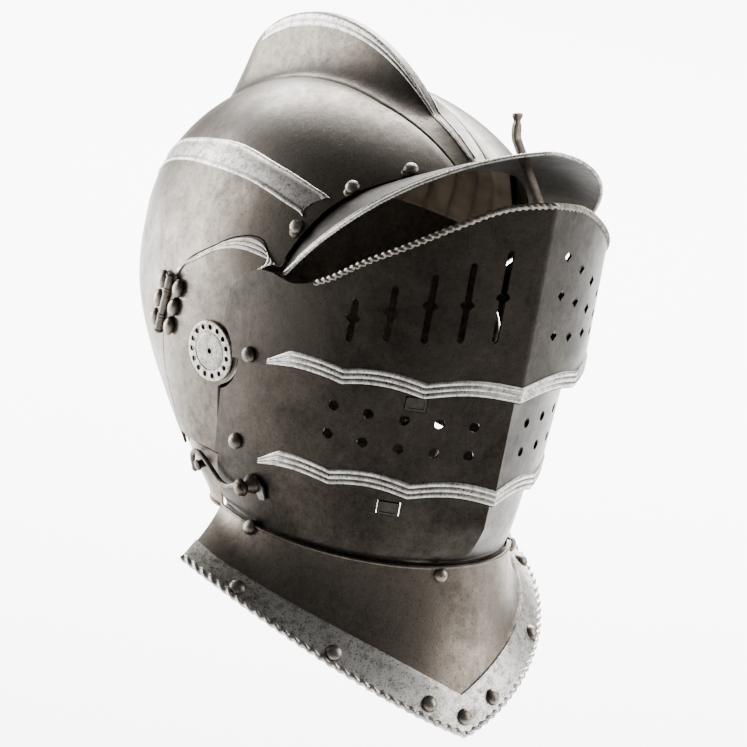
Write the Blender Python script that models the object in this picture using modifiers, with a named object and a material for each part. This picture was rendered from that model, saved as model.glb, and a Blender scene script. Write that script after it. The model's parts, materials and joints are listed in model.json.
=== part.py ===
"""Close burgonet with a falling buffe: a steel helmet as an assembly of separate plates.

Metres, +Z up. The helmet faces -Y and the wearer's right side is -X. The origin is the centre of
the skull bowl's widest ring, in the middle of the head cavity. Plate shapes are written as outer
surfaces; Solidify then gives each plate its thickness towards the inside.
"""
import math

import bmesh
import bpy
from mathutils import Matrix, Vector

MM = 0.001

# Plates and clearances
PLATE = 1.6 * MM
LINING = 7.0 * MM
TOUCH = 0.3 * MM            # between pieces that rest on each other
SEAM = 0.8 * MM             # between two plates that lie edge to edge
LAME_STEP = 2.8 * MM        # from one lame's outer face to the next one's

# Skull bowl: an ellipsoid above the widest ring that leans forward, stations below the ring
BOWL_WIDTH = 100.5 * MM     # half width
BOWL_DEPTH = 132 * MM       # half depth
BOWL_HEIGHT = 102 * MM
BOWL_CENTRE_Y = -4 * MM
BOWL_LEAN = 0.08            # how far the bowl moves forward for its height
NAPE_EDGE_Z = -112 * MM
# z, half width, reach to the back, centre y
HEAD_STATIONS = (
    (-0.000, 0.1005, 0.1320, -0.004), (-0.025, 0.1000, 0.1295, -0.002), (-0.045, 0.0988, 0.1230, -0.001),
    (-0.066, 0.0962, 0.1090, -0.002), (-0.085, 0.0920, 0.0925, -0.004), (-0.103, 0.0880, 0.0690, -0.005),
    (-0.122, 0.0820, 0.0450, -0.008), (-0.137, 0.0770, 0.0350, -0.015), (-0.150, 0.0760, 0.0340, -0.015),
)

# Comb: its crest is a parabola in front and an ellipse behind, measured before the lean
COMB_TOP_Y = 36 * MM
COMB_TOP_Z = 127.5 * MM
COMB_FRONT_CURVE = 4.3     # drop per metre squared
COMB_BACK_REACH = 76 * MM
COMB_BACK_DROP = 50 * MM
COMB_TIP_HALF = 2 * MM
COMB_ROOT_HALF = 22 * MM
COMB_FLARE = 2.1

COMB_FOOT = 2.5 * MM        # the low rib that carries the comb on down to the brow
COMB_NARROWING = 0.4        # share of its width that the comb loses in front

# Brow, the line on which the skull ends above the face, as z and y
BROW_LINE = (
    (0.000, -0.0460), (0.014, -0.0500), (0.040, -0.0575), (0.054, -0.0630), (0.062, -0.0680),
    (0.068, -0.0735), (0.076, -0.0820), (0.082, -0.0890), (0.110, -0.1220), (0.150, -0.1700),
)
EYE_CORNER_Z = 14 * MM

# Cheek plates
CHEEK_BOTTOM_Z = -104 * MM
CHEEK_FRONT_Y = -21 * MM
SEAM_TOP_Y = 27 * MM
SEAM_TOP_Z = -20 * MM
SEAM_LEAN = 0.165           # the seam runs back as it goes down
SEAM_CURL = 18 * MM         # how far its lower end comes forward
ARCH = (
    (0.0, -0.0185), (0.15, -0.0045), (0.32, 0.006), (0.47, 0.0155), (0.645, 0.0223), (0.80, 0.0255),
    (0.92, 0.0247), (1.0, 0.0195),
)
CHEEK_TONGUE_Z = 12.5 * MM
CHEEK_TONGUE_Y = -41.5 * MM

# Ear rosettes
EAR_Y = -14 * MM
EAR_Z = -46 * MM
ROSETTE_RADIUS = 17 * MM
ROSETTE_THICKNESS = 1.5 * MM
ROSETTE_HOLES = 15
ROSETTE_HOLE_RADIUS = 1.5 * MM
EAR_NOTCH_RADIUS = 21 * MM
LOBE_CLEARANCE = 2 * MM

# Hinges at the back of the cheeks
HINGE_TOP_Z = -15 * MM
HINGE_BOTTOM_Z = -51 * MM
HINGE_STANDOFF = 3.4 * MM
KNUCKLE_RADIUS = 2.6 * MM
PIN_RADIUS = 1.2 * MM
PIN_CLEARANCE = 0.1 * MM
LEAF_THICKNESS = 1.0 * MM
LEAF_GAP = 1.0 * MM
LEAF_WIDTH = 13 * MM

# Buffe: plan of each plate as one Bezier from the keel to the rear edge, x and y
BUFFE_REAR_Y = -22.5 * MM
UPPER_KEEL = 160 * MM
UPPER_WIDTH = 101 * MM
MIDDLE_KEEL = 156.2 * MM
BEVOR_KEEL = 152.8 * MM
WIDTH_TAPER = 0.106         # half width lost per metre of height below the upper lame
TAPER_Z = -30 * MM
UPPER_PIVOT = (-48 * MM, -36 * MM)   # y and z
MIDDLE_PIVOT = (-40 * MM, -90 * MM)
PIVOT_RADIUS = 2.2 * MM
PIVOT_HOLE = 2.5 * MM
UPPER_BOTTOM_Z = -28.5 * MM
MIDDLE_TOP_Z = -20 * MM
MIDDLE_BOTTOM_Z = -91 * MM
RIM_SKEW = 0.08             # the rim sits a little higher on the right, as the old plate is bent
BEVOR_TOP_Z = -80 * MM
CHIN_Z = -108 * MM
NECK_Z = -133 * MM
NECK_WIDTH = 80 * MM
NECK_FRONT = 83 * MM
NECK_CENTRE_Y = -52 * MM

# Sights on the wearer's right, lozenge breaths on the left, round breaths below
SIGHT_WIDTH = 4 * MM
SIGHT_LOBE = 9 * MM
BREATH_RADIUS = 3 * MM

# Spring catches
CATCH_WIDTH = 12 * MM
CATCH_HEIGHT = 8 * MM
CATCH_PROUD = 0.6 * MM
CATCH_FROM_KEEL = 56 * MM
CATCH_DROP = 6 * MM         # from the lame above it to its middle
CATCH_CLEARANCE = 0.4 * MM

# Nasal bar
BAR_WIDTH = 5.5 * MM
BAR_THICKNESS = 2.5 * MM
BAR_CLEARANCE = 0.5 * MM

# Gorget
GORGET_EDGE = (
    (0.0, -0.168, -0.2245), (0.055, -0.160, -0.2060), (0.113, -0.112, -0.1685), (0.116, -0.040, -0.157),
)
BORDER_START = 0.76         # share of the way from the neck to the edge
RIVET_RADIUS = 4.0 * MM
RIVET_HEIGHT = 2.6 * MM

SIDES = (("right", -1), ("left", 1))


# ---------------------------------------------------------------- scene and materials

def clear_scene():
    for thing in list(bpy.data.objects):
        bpy.data.objects.remove(thing, do_unlink=True)


clear_scene()
PARTS = bpy.data.collections.new("close_burgonet")
CUTTERS = bpy.data.collections.new("close_burgonet_cutters")
bpy.context.scene.collection.children.link(PARTS)
bpy.context.scene.collection.children.link(CUTTERS)

FINISHES = {
    "dark_steel": ((0.115, 0.105, 0.095), 0.42, 0.95),
    "skull_steel": ((0.20, 0.185, 0.17), 0.40, 0.95),
    "bright_steel": ((0.55, 0.53, 0.50), 0.34, 1.0),
    "rivet_steel": ((0.30, 0.28, 0.26), 0.38, 1.0),
    "spring_steel": ((0.16, 0.155, 0.15), 0.30, 1.0),
    "quilted_linen": ((0.42, 0.33, 0.22), 0.90, 0.0),
}


def material(slot):
    found = bpy.data.materials.get(slot)
    if found:
        return found
    colour, roughness, metallic = FINISHES[slot]
    made = bpy.data.materials.new(slot)
    made.use_nodes = True
    shader = made.node_tree.nodes["Principled BSDF"]
    shader.inputs["Base Color"].default_value = (*colour, 1)
    shader.inputs["Roughness"].default_value = roughness
    shader.inputs["Metallic"].default_value = metallic
    return made


def add_object(name, mesh, slot):
    thing = bpy.data.objects.new(name, mesh)
    PARTS.objects.link(thing)
    mesh.materials.clear()
    mesh.materials.append(material(slot))
    return thing


def move_origin(thing, place):
    """Puts an object's origin on its joint's axis without moving its shape."""
    thing.data.transform(Matrix.Translation(-Vector(place)))
    thing.location = place


# ---------------------------------------------------------------- mesh helpers

def grid_mesh(name, rows, outward=None):
    """A sheet of quads through rows of points. outward(face centre) says which way is outside."""
    mesh = bmesh.new()
    verts = [[mesh.verts.new(p) for p in row] for row in rows]
    for low, high in zip(verts, verts[1:]):
        for a, b, c, d in zip(low, low[1:], high[1:], high):
            mesh.faces.new((a, b, c, d))
    bmesh.ops.remove_doubles(mesh, verts=mesh.verts, dist=0.01 * MM)
    point_outwards(mesh, outward)
    data = bpy.data.meshes.new(name)
    mesh.to_mesh(data)
    mesh.free()
    return data


def point_outwards(mesh, outward):
    """Turns a sheet over if most of its area faces away from the outward direction."""
    mesh.normal_update()
    if outward is None:
        return
    score = sum(f.normal.dot(outward(f.calc_center_median())) * f.calc_area() for f in mesh.faces)
    if score < 0:
        bmesh.ops.reverse_faces(mesh, faces=mesh.faces)


def from_axis(point):
    """Outside, for the plates that wrap the head."""
    return Vector((point.x, point.y + 0.03, 0.6 * (point.z + 0.04)))


def plate(name, rows, slot, outward=from_axis, thickness=PLATE):
    """A plate whose outer face is the sheet through the rows."""
    thing = add_object(name, grid_mesh(name, rows, outward), slot)
    solid = thing.modifiers.new("thickness", "SOLIDIFY")
    solid.thickness = thickness
    solid.offset = -1
    solid.use_even_offset = True
    shade(thing)
    return thing


def shade(thing, angle=40):
    thing.data.shade_smooth()
    thing.data.set_sharp_from_angle(angle=math.radians(angle))


def frame_at(point, normal, up=(0, 0, 1)):
    """A matrix at point whose z is the normal and whose y is as near to up as it can be."""
    z = Vector(normal).normalized()
    x = Vector(up).cross(z).normalized()
    y = z.cross(x)
    turn = Matrix((x, y, z)).transposed().to_4x4()
    return Matrix.Translation(Vector(point)) @ turn


def prism(mesh, place, outline, low, high):
    """Adds a closed prism over a flat outline (x, y), from low to high along z."""
    rings = [[mesh.verts.new(place @ Vector((x, y, z))) for x, y in outline] for z in (low, high)]
    made = [mesh.faces.new(rings[0][::-1]), mesh.faces.new(rings[1])]
    for i in range(len(outline)):
        j = (i + 1) % len(outline)
        made.append(mesh.faces.new((rings[0][i], rings[0][j], rings[1][j], rings[1][i])))
    bmesh.ops.recalc_face_normals(mesh, faces=made)


def circle(radius, count=8, turn=0.5):
    steps = [(i + turn) * 2 * math.pi / count for i in range(count)]
    return [(radius * math.cos(a), radius * math.sin(a)) for a in steps]


def rectangle(width, height):
    x, y = width / 2, height / 2
    return [(-x, -y), (x, -y), (x, y), (-x, y)]


def solid_from(name, mesh, slot):
    data = bpy.data.meshes.new(name)
    mesh.to_mesh(data)
    mesh.free()
    thing = add_object(name, data, slot)
    shade(thing)
    return thing


def cutter(name, mesh):
    """A cutter made of closed prisms that don't touch each other."""
    data = bpy.data.meshes.new(name)
    mesh.to_mesh(data)
    mesh.free()
    thing = bpy.data.objects.new(name, data)
    CUTTERS.objects.link(thing)
    thing.hide_render = True
    thing.display_type = "WIRE"
    return thing


def cut(thing, tool, operation="DIFFERENCE"):
    change = thing.modifiers.new(operation.lower(), "BOOLEAN")
    change.operation = operation
    change.object = tool
    change.solver = "EXACT"


# ---------------------------------------------------------------- curves

def bezier(points, t):
    a, b, c, d = (Vector(p) for p in points)
    s = 1 - t
    return a * s ** 3 + b * (3 * s * s * t) + c * (3 * s * t * t) + d * t ** 3


def through(stations, x):
    """A smooth value read from (x, value, ...) stations, which run either way."""
    keys = [s[0] for s in stations]
    step = 1 if keys[-1] > keys[0] else -1
    i = 0
    while i < len(keys) - 2 and (x - keys[i + 1]) * step > 0:
        i += 1
    span = keys[i + 1] - keys[i]
    t = min(1, max(0, (x - keys[i]) / span))
    result = []
    for k in range(1, len(stations[0])):
        here, there = stations[i][k], stations[i + 1][k]
        before = stations[max(0, i - 1)]
        after = stations[min(len(keys) - 1, i + 2)]
        slope_a = (there - before[k]) / (keys[i + 1] - before[0]) * span
        slope_b = (after[k] - here) / (after[0] - keys[i]) * span
        h = t * t * (3 - 2 * t)
        bend = t * (1 - t) * ((1 - t) * slope_a - t * slope_b)
        result.append(here * (1 - h) + there * h + bend)
    return result


def spread(low, high, count):
    return [low + (high - low) * i / (count - 1) for i in range(count)]


# ---------------------------------------------------------------- head surface

def head_section(z):
    """Half width, reach to the back, reach to the front and centre y of the head at height z."""
    if z >= 0:
        share = math.sqrt(max(0.0, 1 - (z / BOWL_HEIGHT) ** 2))
        return BOWL_WIDTH * share, BOWL_DEPTH * share, BOWL_DEPTH * share, BOWL_CENTRE_Y - BOWL_LEAN * z
    width, back, centre = through(HEAD_STATIONS, z)
    return width, back, BOWL_DEPTH * width / BOWL_WIDTH, centre


def head_point(side, y, z, out=0.0):
    """A point of the head's outer face at the given y and z, moved out along the normal."""
    width, back, front, centre = head_section(z)
    reach = back if y > centre else front
    share = min(0.999, abs(y - centre) / reach)
    x = width * math.sqrt(1 - share * share)
    point = Vector((side * x, y, z))
    return point + head_normal(side, y, z) * out if out else point


def head_at(angle, z, out=0.0):
    """A point of the head's outer face: angle 0 is the back, a quarter turn is a side."""
    width, back, front, centre = head_section(z)
    reach = back if math.cos(angle) > 0 else front
    point = Vector((width * math.sin(angle), centre + reach * math.cos(angle), z))
    if not out:
        return point
    step = 0.5 * MM
    along = head_at(angle + 0.01, z) - head_at(angle - 0.01, z)
    up = head_at(angle, z + step) - head_at(angle, z - step)
    normal = up.cross(along).normalized()
    return point + normal * (out if normal.dot(Vector((point.x, point.y - centre, 0))) > 0 else -out)


def head_normal(side, y, z):
    step = 0.5 * MM
    along = head_point(side, y + step, z) - head_point(side, y - step, z)
    up = head_point(side, y, z + step) - head_point(side, y, z - step)
    normal = along.cross(up).normalized()
    return normal if normal.x * side > 0 else -normal


def comb_height(y):
    """How far the crest stands above the bowl."""
    if y < COMB_TOP_Y:
        crest = COMB_TOP_Z - COMB_FRONT_CURVE * (y - COMB_TOP_Y) ** 2
    else:
        share = min(1, (y - COMB_TOP_Y) / COMB_BACK_REACH)
        crest = COMB_TOP_Z - COMB_BACK_DROP * (1 - math.sqrt(1 - share ** 2))
        crest -= max(0, y - COMB_TOP_Y - COMB_BACK_REACH) * 6
    bowl = BOWL_HEIGHT * math.sqrt(max(0, 1 - ((y - BOWL_CENTRE_Y) / BOWL_DEPTH) ** 2))
    return max(COMB_FOOT if y < COMB_TOP_Y else 0.0, crest - bowl)


def comb_profile(x):
    """Share of the comb's height at a distance x from the middle."""
    if x <= COMB_TIP_HALF:
        return 1.0
    return max(0.0, (COMB_ROOT_HALF - x) / (COMB_ROOT_HALF - COMB_TIP_HALF)) ** COMB_FLARE


COMB_OFFSETS = (0, 3, 5, 8, 12, 17, 22)


def comb_width(y, width):
    """The comb's width as a share: it narrows towards the brow and at the back of the bowl."""
    forward = min(1, max(0, -20 * MM - y) / (60 * MM))
    return min(1.0, width / (60 * MM)) * (1 - COMB_NARROWING * forward)


def bowl_section(y):
    """One arch of the bowl that starts at y, from the right ear over the comb to the left."""
    share = math.sqrt(max(0.0, 1 - ((y - BOWL_CENTRE_Y) / BOWL_DEPTH) ** 2))
    width = BOWL_WIDTH * share
    shrink = comb_width(y, width)
    half = []
    for offset in COMB_OFFSETS:
        x = offset * MM * shrink
        rise = BOWL_HEIGHT * math.sqrt(max(0, share ** 2 - (x / BOWL_WIDTH) ** 2))
        half.append((x, rise + comb_height(y) * comb_profile(offset * MM)))
    start = math.asin(min(1, COMB_OFFSETS[-1] * MM * shrink / width))
    for angle in spread(start, math.pi / 2, 8)[1:]:
        half.append((width * math.sin(angle), BOWL_HEIGHT * share * math.cos(angle)))
    right = [Vector((-x, y - BOWL_LEAN * z, z)) for x, z in reversed(half)]
    left = [Vector((x, y - BOWL_LEAN * z, z)) for x, z in half[1:]]
    return right + left


BOWL_STATIONS = [y * MM for y in (-92, -76, -60, -42, -22, -2, 18, 38, 56, 72, 86, 97, 104, 109, 112, 118, 124)]


def skull_sheet():
    """The bowl with its comb, and below its widest ring the sides and nape."""
    mesh = bmesh.new()
    arches = [[mesh.verts.new(p) for p in bowl_section(y)] for y in BOWL_STATIONS]
    for low, high in zip(arches, arches[1:]):
        for a, b, c, d in zip(low, low[1:], high[1:], high):
            mesh.faces.new((a, b, c, d))
    pole = mesh.verts.new((0, BOWL_CENTRE_Y + BOWL_DEPTH, 0))
    for a, b in zip(arches[-1], arches[-1][1:]):
        mesh.faces.new((a, b, pole))
    ring = [arch[0] for arch in arches] + [pole] + [arch[-1] for arch in reversed(arches)]
    shares = [((v.co.y - BOWL_CENTRE_Y) / BOWL_DEPTH, math.copysign(1, v.co.x) if v is not pole else 0)
              for v in ring]
    for z in spread(0, NAPE_EDGE_Z, 9)[1:]:
        width, back, front, centre = head_section(z)
        lower = []
        for share, side in shares:
            reach = back if share > 0 else front
            x = side * width * math.sqrt(max(0, 1 - share * share))
            lower.append(mesh.verts.new((x, centre + reach * share, z)))
        for a, b, c, d in zip(ring, ring[1:], lower[1:], lower):
            mesh.faces.new((a, b, c, d))
        ring = lower
    bmesh.ops.recalc_face_normals(mesh, faces=mesh.faces)
    point_outwards(mesh, from_axis)
    data = bpy.data.meshes.new("skull")
    mesh.to_mesh(data)
    mesh.free()
    return data


def seam_y(z):
    """Rear edge of a cheek: straight along its hinge, curving forward below it."""
    below = max(0, HINGE_BOTTOM_Z - z) / (HINGE_BOTTOM_Z - CHEEK_BOTTOM_Z)
    return SEAM_TOP_Y + (SEAM_TOP_Z - max(z, HINGE_BOTTOM_Z)) * SEAM_LEAN - SEAM_CURL * below ** 2


def brow_y(z):
    return through(BROW_LINE, z)[0]


def cheek_front(z):
    """Front edge of a cheek plate: straight, with a lobe behind the rosette and a tongue above."""
    tongue_low = -6 * MM
    if z > tongue_low:
        share = min(1, (z - tongue_low) / (CHEEK_TONGUE_Z - tongue_low))
        return CHEEK_FRONT_Y + (CHEEK_TONGUE_Y - CHEEK_FRONT_Y) * share
    lobe = EAR_NOTCH_RADIUS - LOBE_CLEARANCE
    height = abs(z - EAR_Z)
    if height < lobe:
        return min(CHEEK_FRONT_Y, EAR_Y - math.sqrt(lobe ** 2 - height ** 2))
    return CHEEK_FRONT_Y


def cheek_top(share):
    return through(ARCH, share)[0]


def cheek_grid_point(side, across, up):
    """A point of a cheek plate: across runs from the hinge to the front, up from the bottom."""
    z = CHEEK_BOTTOM_Z + (cheek_top(across) - CHEEK_BOTTOM_Z) * up
    rear = seam_y(z)
    return head_point(side, rear + (cheek_front(z) - rear) * across, z)


def face_opening():
    """Side outline of what is open in the skull: the cheeks, the face and all before the brow."""
    # The cheek's own edge, moved out by the seam
    arch = []
    for across in spread(0, 1, 12):
        edge = cheek_grid_point(1, across, 1)
        arch.append((edge.y + SEAM * (1 - 1.6 * across), edge.z + SEAM))
    low = NAPE_EDGE_Z - 10 * MM
    far = -0.2
    top = 0.14
    seam = [(seam_y(z) + SEAM, z) for z in spread(CHEEK_BOTTOM_Z, arch[0][1], 8)[:-1]]
    outline = [(seam[0][0], low)] + seam + arch
    corner_z = EYE_CORNER_Z + MM
    outline.append((CHEEK_TONGUE_Y - SEAM, corner_z))
    outline += [(brow_y(z), z) for z in spread(corner_z, top, 24)]
    return outline + [(far, top), (far, low)]


def side_cutter(name, outline, low, high):
    """A prism across the helmet over an outline of (y, z)."""
    mesh = bmesh.new()
    across = Matrix(((0, 0, 1, 0), (1, 0, 0, 0), (0, 1, 0, 0), (0, 0, 0, 1)))
    prism(mesh, across, outline, low, high)
    return cutter(name, mesh)


def make_skull():
    thing = add_object("skull", skull_sheet(), "skull_steel")
    solid = thing.modifiers.new("thickness", "SOLIDIFY")
    solid.thickness = PLATE
    solid.offset = -1
    shade(thing)
    cut(thing, side_cutter("face_cut", face_opening(), -0.14, 0.14))
    return thing


# ---------------------------------------------------------------- peak and its rivets

def bowl_level(point, inset):
    """1 on the bowl less an inset, above 1 outside it."""
    y = point.y - BOWL_CENTRE_Y + BOWL_LEAN * point.z
    return math.sqrt((point.x / (BOWL_WIDTH - inset)) ** 2 + (y / (BOWL_DEPTH - inset)) ** 2
                     + (point.z / (BOWL_HEIGHT - inset)) ** 2)


def bowl_normal(point):
    y = (point.y - BOWL_CENTRE_Y + BOWL_LEAN * point.z) / BOWL_DEPTH ** 2
    return Vector((point.x / BOWL_WIDTH ** 2, y, point.z / BOWL_HEIGHT ** 2 + BOWL_LEAN * y)).normalized()


def brow_top(inset):
    """Height at which the brow plane meets the middle line of the bowl less an inset."""
    low, high = 0.0, BOWL_HEIGHT
    for _ in range(40):
        z = (low + high) / 2
        outside = bowl_level(Vector((0, brow_y(z), z)), inset) > 1
        low, high = (low, z) if outside else (z, high)
    return low


def brow_point(share, inset):
    """A point on the bowl in the brow plane: share 0 in the middle, 1 at the eye corner."""
    top = brow_top(inset)
    z = top + (EYE_CORNER_Z + 5 * MM - top) * abs(share) ** 1.7
    y = brow_y(z)
    level = bowl_level(Vector((0, y, z)), inset)
    x = (BOWL_WIDTH - inset) * math.sqrt(max(0, 1 - level ** 2)) if share else 0.0
    return Vector((math.copysign(x, share), y, z))


PEAK_EDGE = ((0.0, -0.147, 0.110), (0.052, -0.135, 0.103), (0.106, -0.112, 0.070), (0.0935, -0.053, 0.011))
PEAK_SKEW = 0.06            # the edge sits a little higher on the right, as the old plate is bent
FLANGE = 15 * MM            # what the peak runs back inside the skull
PEAK_INSET = PLATE + 1.8 * MM


def peak_point(share, out):
    """out is 0 at the brow and 1 at the peak's edge; below 0 it runs back inside the skull."""
    root = brow_point(share, PEAK_INSET)
    edge = bezier(PEAK_EDGE, abs(share))
    edge.x = math.copysign(edge.x, share)
    edge.z -= PEAK_SKEW * edge.x * (1 - abs(share) ** 3)
    if out >= 0:
        middle = (root + edge) / 2 + Vector((0, -2 * MM, 3 * MM))
        return root * (1 - out) ** 2 + middle * (2 * out * (1 - out)) + edge * out ** 2
    back = Vector((root.x, root.y + FLANGE * -out, root.z))
    centre = Vector((0, BOWL_CENTRE_Y, 0))
    return centre + (back - centre) / bowl_level(back, PEAK_INSET)


BAR_AXIS = Vector((0, 0.70, 0.714)).normalized()
BAR_SLOT = Vector((0, -0.1250, 0.1010))
BAR_LOW = -36 * MM
BAR_STRAIGHT = 10 * MM
BAR_TOP = Vector((0, 0.0023, 0.0135))


def bar_outline():
    """Side outline of the nasal bar in (along the bar, across it), with its bent top."""
    half = BAR_THICKNESS / 2
    bend = BAR_SLOT + BAR_AXIS * BAR_STRAIGHT
    across = Vector((0, -BAR_AXIS.z, BAR_AXIS.y))
    top = bend + BAR_TOP
    side = Vector((0, -BAR_TOP.z, BAR_TOP.y)).normalized() * half
    low = BAR_SLOT + BAR_AXIS * BAR_LOW
    return [low - across * half, bend - across * half, top - side, top + side, bend + across * half,
            low + across * half]


def make_peak():
    shares = spread(-1, 1, 21)
    outs = (-1, -0.5, 0, 0.2, 0.45, 0.72, 1)
    rows = [[peak_point(share, out) for share in shares] for out in outs]
    thing = plate("peak", rows, "dark_steel", outward=lambda p: Vector((p.x, p.y, 0.12)), thickness=PLATE)
    mesh = bmesh.new()
    up = Vector((0, -BAR_AXIS.z, BAR_AXIS.y))
    place = frame_at(BAR_SLOT, BAR_AXIS, up)
    hole = rectangle(BAR_WIDTH + 2 * BAR_CLEARANCE, BAR_THICKNESS + 2 * BAR_CLEARANCE)
    prism(mesh, place, hole, -12 * MM, 12 * MM)
    cut(thing, cutter("bar_slot", mesh))
    return thing


def make_nasal_bar():
    outline = [(p.y, p.z) for p in bar_outline()]
    mesh = bmesh.new()
    across = Matrix(((0, 0, 1, 0), (1, 0, 0, 0), (0, 1, 0, 0), (0, 0, 0, 1)))
    prism(mesh, across, outline, -BAR_WIDTH / 2, BAR_WIDTH / 2)
    thing = solid_from("nasal_bar", mesh, "rivet_steel")
    move_origin(thing, BAR_SLOT)
    return thing


def dome(name, point, normal, slot="rivet_steel", radius=RIVET_RADIUS, height=RIVET_HEIGHT, shank=None):
    """A round rivet head with its flat back at point; shank is (radius, length) behind it."""
    mesh = bmesh.new()
    steps = 3
    profile = []
    for i in range(steps):
        angle = math.pi / 2 * i / steps
        profile.append((radius * math.cos(angle), height * math.sin(angle)))
    if shank:
        profile = [(shank[0], -shank[1]), (shank[0], 0)] + profile
    rings = []
    for r, z in profile:
        rings.append([mesh.verts.new((x, y, z)) for x, y in circle(r, 10)])
    for low, high in zip(rings, rings[1:]):
        for i in range(10):
            j = (i + 1) % 10
            mesh.faces.new((low[i], low[j], high[j], high[i]))
    mesh.faces.new(rings[0][::-1])
    tip = mesh.verts.new((0, 0, height))
    for i in range(10):
        mesh.faces.new((rings[-1][i], rings[-1][(i + 1) % 10], tip))
    bmesh.ops.recalc_face_normals(mesh, faces=mesh.faces)
    mesh.transform(frame_at(point, normal))
    return solid_from(name, mesh, slot)


# share of the way from the middle to the eye corner, distance behind the brow
BROW_RIVETS = ((0.23, 0.0048), (0.48, 0.0047), (0.81, 0.0060))


def make_brow_rivets():
    for name, side in SIDES:
        for number, (share, distance) in enumerate(BROW_RIVETS, 1):
            root = brow_point(share * side, 0)
            back = Vector((root.x, root.y + distance, root.z))
            centre = Vector((0, BOWL_CENTRE_Y, 0))
            point = centre + (back - centre) / bowl_level(back, 0)
            normal = bowl_normal(point)
            dome(f"brow_rivet_{name}_{number}", point + normal * (TOUCH + 0.15 * MM), normal)


# ---------------------------------------------------------------- cheeks, rosettes and hinges

def cheek_ups():
    """Shares of a cheek's height, with rows on the lobe behind the rosette."""
    lobe = EAR_NOTCH_RADIUS - LOBE_CLEARANCE
    span = cheek_top(1) - CHEEK_BOTTOM_Z
    heights = [EAR_Z + lobe * math.sin(a) for a in spread(-math.pi / 2, math.pi / 2, 9)]
    on_lobe = [(z - CHEEK_BOTTOM_Z) / span for z in heights]
    return spread(0, on_lobe[0], 4)[:-1] + on_lobe + spread(on_lobe[-1], 1, 5)[1:]


def make_cheek(name, side):
    rows = [[cheek_grid_point(side, across, up) for across in spread(0, 1, 8)] for up in cheek_ups()]
    thing = plate(f"cheek_{name}", rows, "skull_steel")
    move_origin(thing, hinge_axis(side)[0])
    return thing


def make_rosette(name, side):
    normal = head_normal(side, EAR_Y, EAR_Z)
    place = frame_at(head_point(side, EAR_Y, EAR_Z, TOUCH), normal)
    mesh = bmesh.new()
    bmesh.ops.create_cone(mesh, cap_ends=True, segments=30, radius1=ROSETTE_RADIUS,
                          radius2=ROSETTE_RADIUS - 0.6 * MM, depth=ROSETTE_THICKNESS)
    mesh.transform(place @ Matrix.Translation((0, 0, ROSETTE_THICKNESS / 2)))
    thing = solid_from(f"ear_rosette_{name}", mesh, "bright_steel")
    holes = bmesh.new()
    ring = ROSETTE_RADIUS - 3.2 * MM
    places = [(0, 0)] + [(ring * math.cos(a), ring * math.sin(a))
                         for a in spread(0, 2 * math.pi, ROSETTE_HOLES + 1)[:-1]]
    for x, y in places:
        prism(holes, place @ Matrix.Translation((x, y, 0)), circle(ROSETTE_HOLE_RADIUS, 6), -2 * MM, 4 * MM)
    cut(thing, cutter(f"rosette_holes_{name}", holes))
    return thing


def hinge_axis(side):
    """The middle and the upward direction of a cheek's hinge pin."""
    top = head_point(side, seam_y(HINGE_TOP_Z), HINGE_TOP_Z, HINGE_STANDOFF)
    bottom = head_point(side, seam_y(HINGE_BOTTOM_Z), HINGE_BOTTOM_Z, HINGE_STANDOFF)
    return (top + bottom) / 2, (top - bottom).normalized()


def hinge_frame(side):
    """z along the pin, y straight out of the head, x along the head to the back or the front."""
    middle, up = hinge_axis(side)
    out = head_normal(side, middle.y, middle.z)
    out = (out - up * out.dot(up)).normalized()
    x = out.cross(up)
    turn = Matrix((x, out, up)).transposed().to_4x4()
    return Matrix.Translation(middle) @ turn


HINGE_LENGTH = 36 * MM
KNUCKLE_GAP = 0.4 * MM


def make_leaf(name, side, forwards):
    """A hinge leaf: forwards -1 lies on the cheek and holds one knuckle, 1 on the skull and holds two."""
    place = hinge_frame(side)
    inverse = place.inverted()
    which = "cheek" if forwards < 0 else "skull"
    rows = []
    reach = spread(3.4 * MM, LEAF_WIDTH, 4)
    for v in spread(-HINGE_LENGTH / 2 + 1 * MM, HINGE_LENGTH / 2 - 1 * MM, 7):
        row = []
        for d in reach:
            guess = place @ Vector((0, 0, v))
            row.append(head_point(side, guess.y + forwards * d, guess.z, LEAF_GAP + LEAF_THICKNESS))
        rows.append(row)
    thing = plate(f"hinge_leaf_{which}_{name}", rows, "rivet_steel", thickness=LEAF_THICKNESS)
    third = HINGE_LENGTH / 3
    if forwards < 0:
        spans = [(-third / 2 - 2 * MM, third / 2 + 2 * MM)]
    else:
        spans = [(-HINGE_LENGTH / 2, -third / 2 - 2 * MM - KNUCKLE_GAP),
                 (third / 2 + 2 * MM + KNUCKLE_GAP, HINGE_LENGTH / 2)]
    knuckles = bmesh.new()
    for low, high in spans:
        middle = place @ Vector((0, 0, (low + high) / 2))
        root = head_point(side, middle.y + forwards * 5.5 * MM, middle.z, LEAF_GAP + LEAF_THICKNESS / 2)
        edge = inverse @ root
        way = math.copysign(1, edge.x)
        thick = LEAF_THICKNESS * 0.45
        wrap = spread(math.radians(-8), math.radians(262), 12)
        outline = [(way * KNUCKLE_RADIUS * math.cos(a), KNUCKLE_RADIUS * math.sin(a)) for a in wrap]
        outline += [(edge.x, edge.y - thick), (edge.x, edge.y + thick)]
        prism(knuckles, place, outline, low, high)
    tool = cutter(f"knuckles_{which}_{name}", knuckles)
    cut(thing, tool, "UNION")
    bore = bmesh.new()
    prism(bore, place, circle(PIN_RADIUS + PIN_CLEARANCE, 12), -HINGE_LENGTH, HINGE_LENGTH)
    cut(thing, cutter(f"bore_{which}_{name}", bore))
    if forwards < 0:
        move_origin(thing, hinge_axis(side)[0])
    return thing


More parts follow.
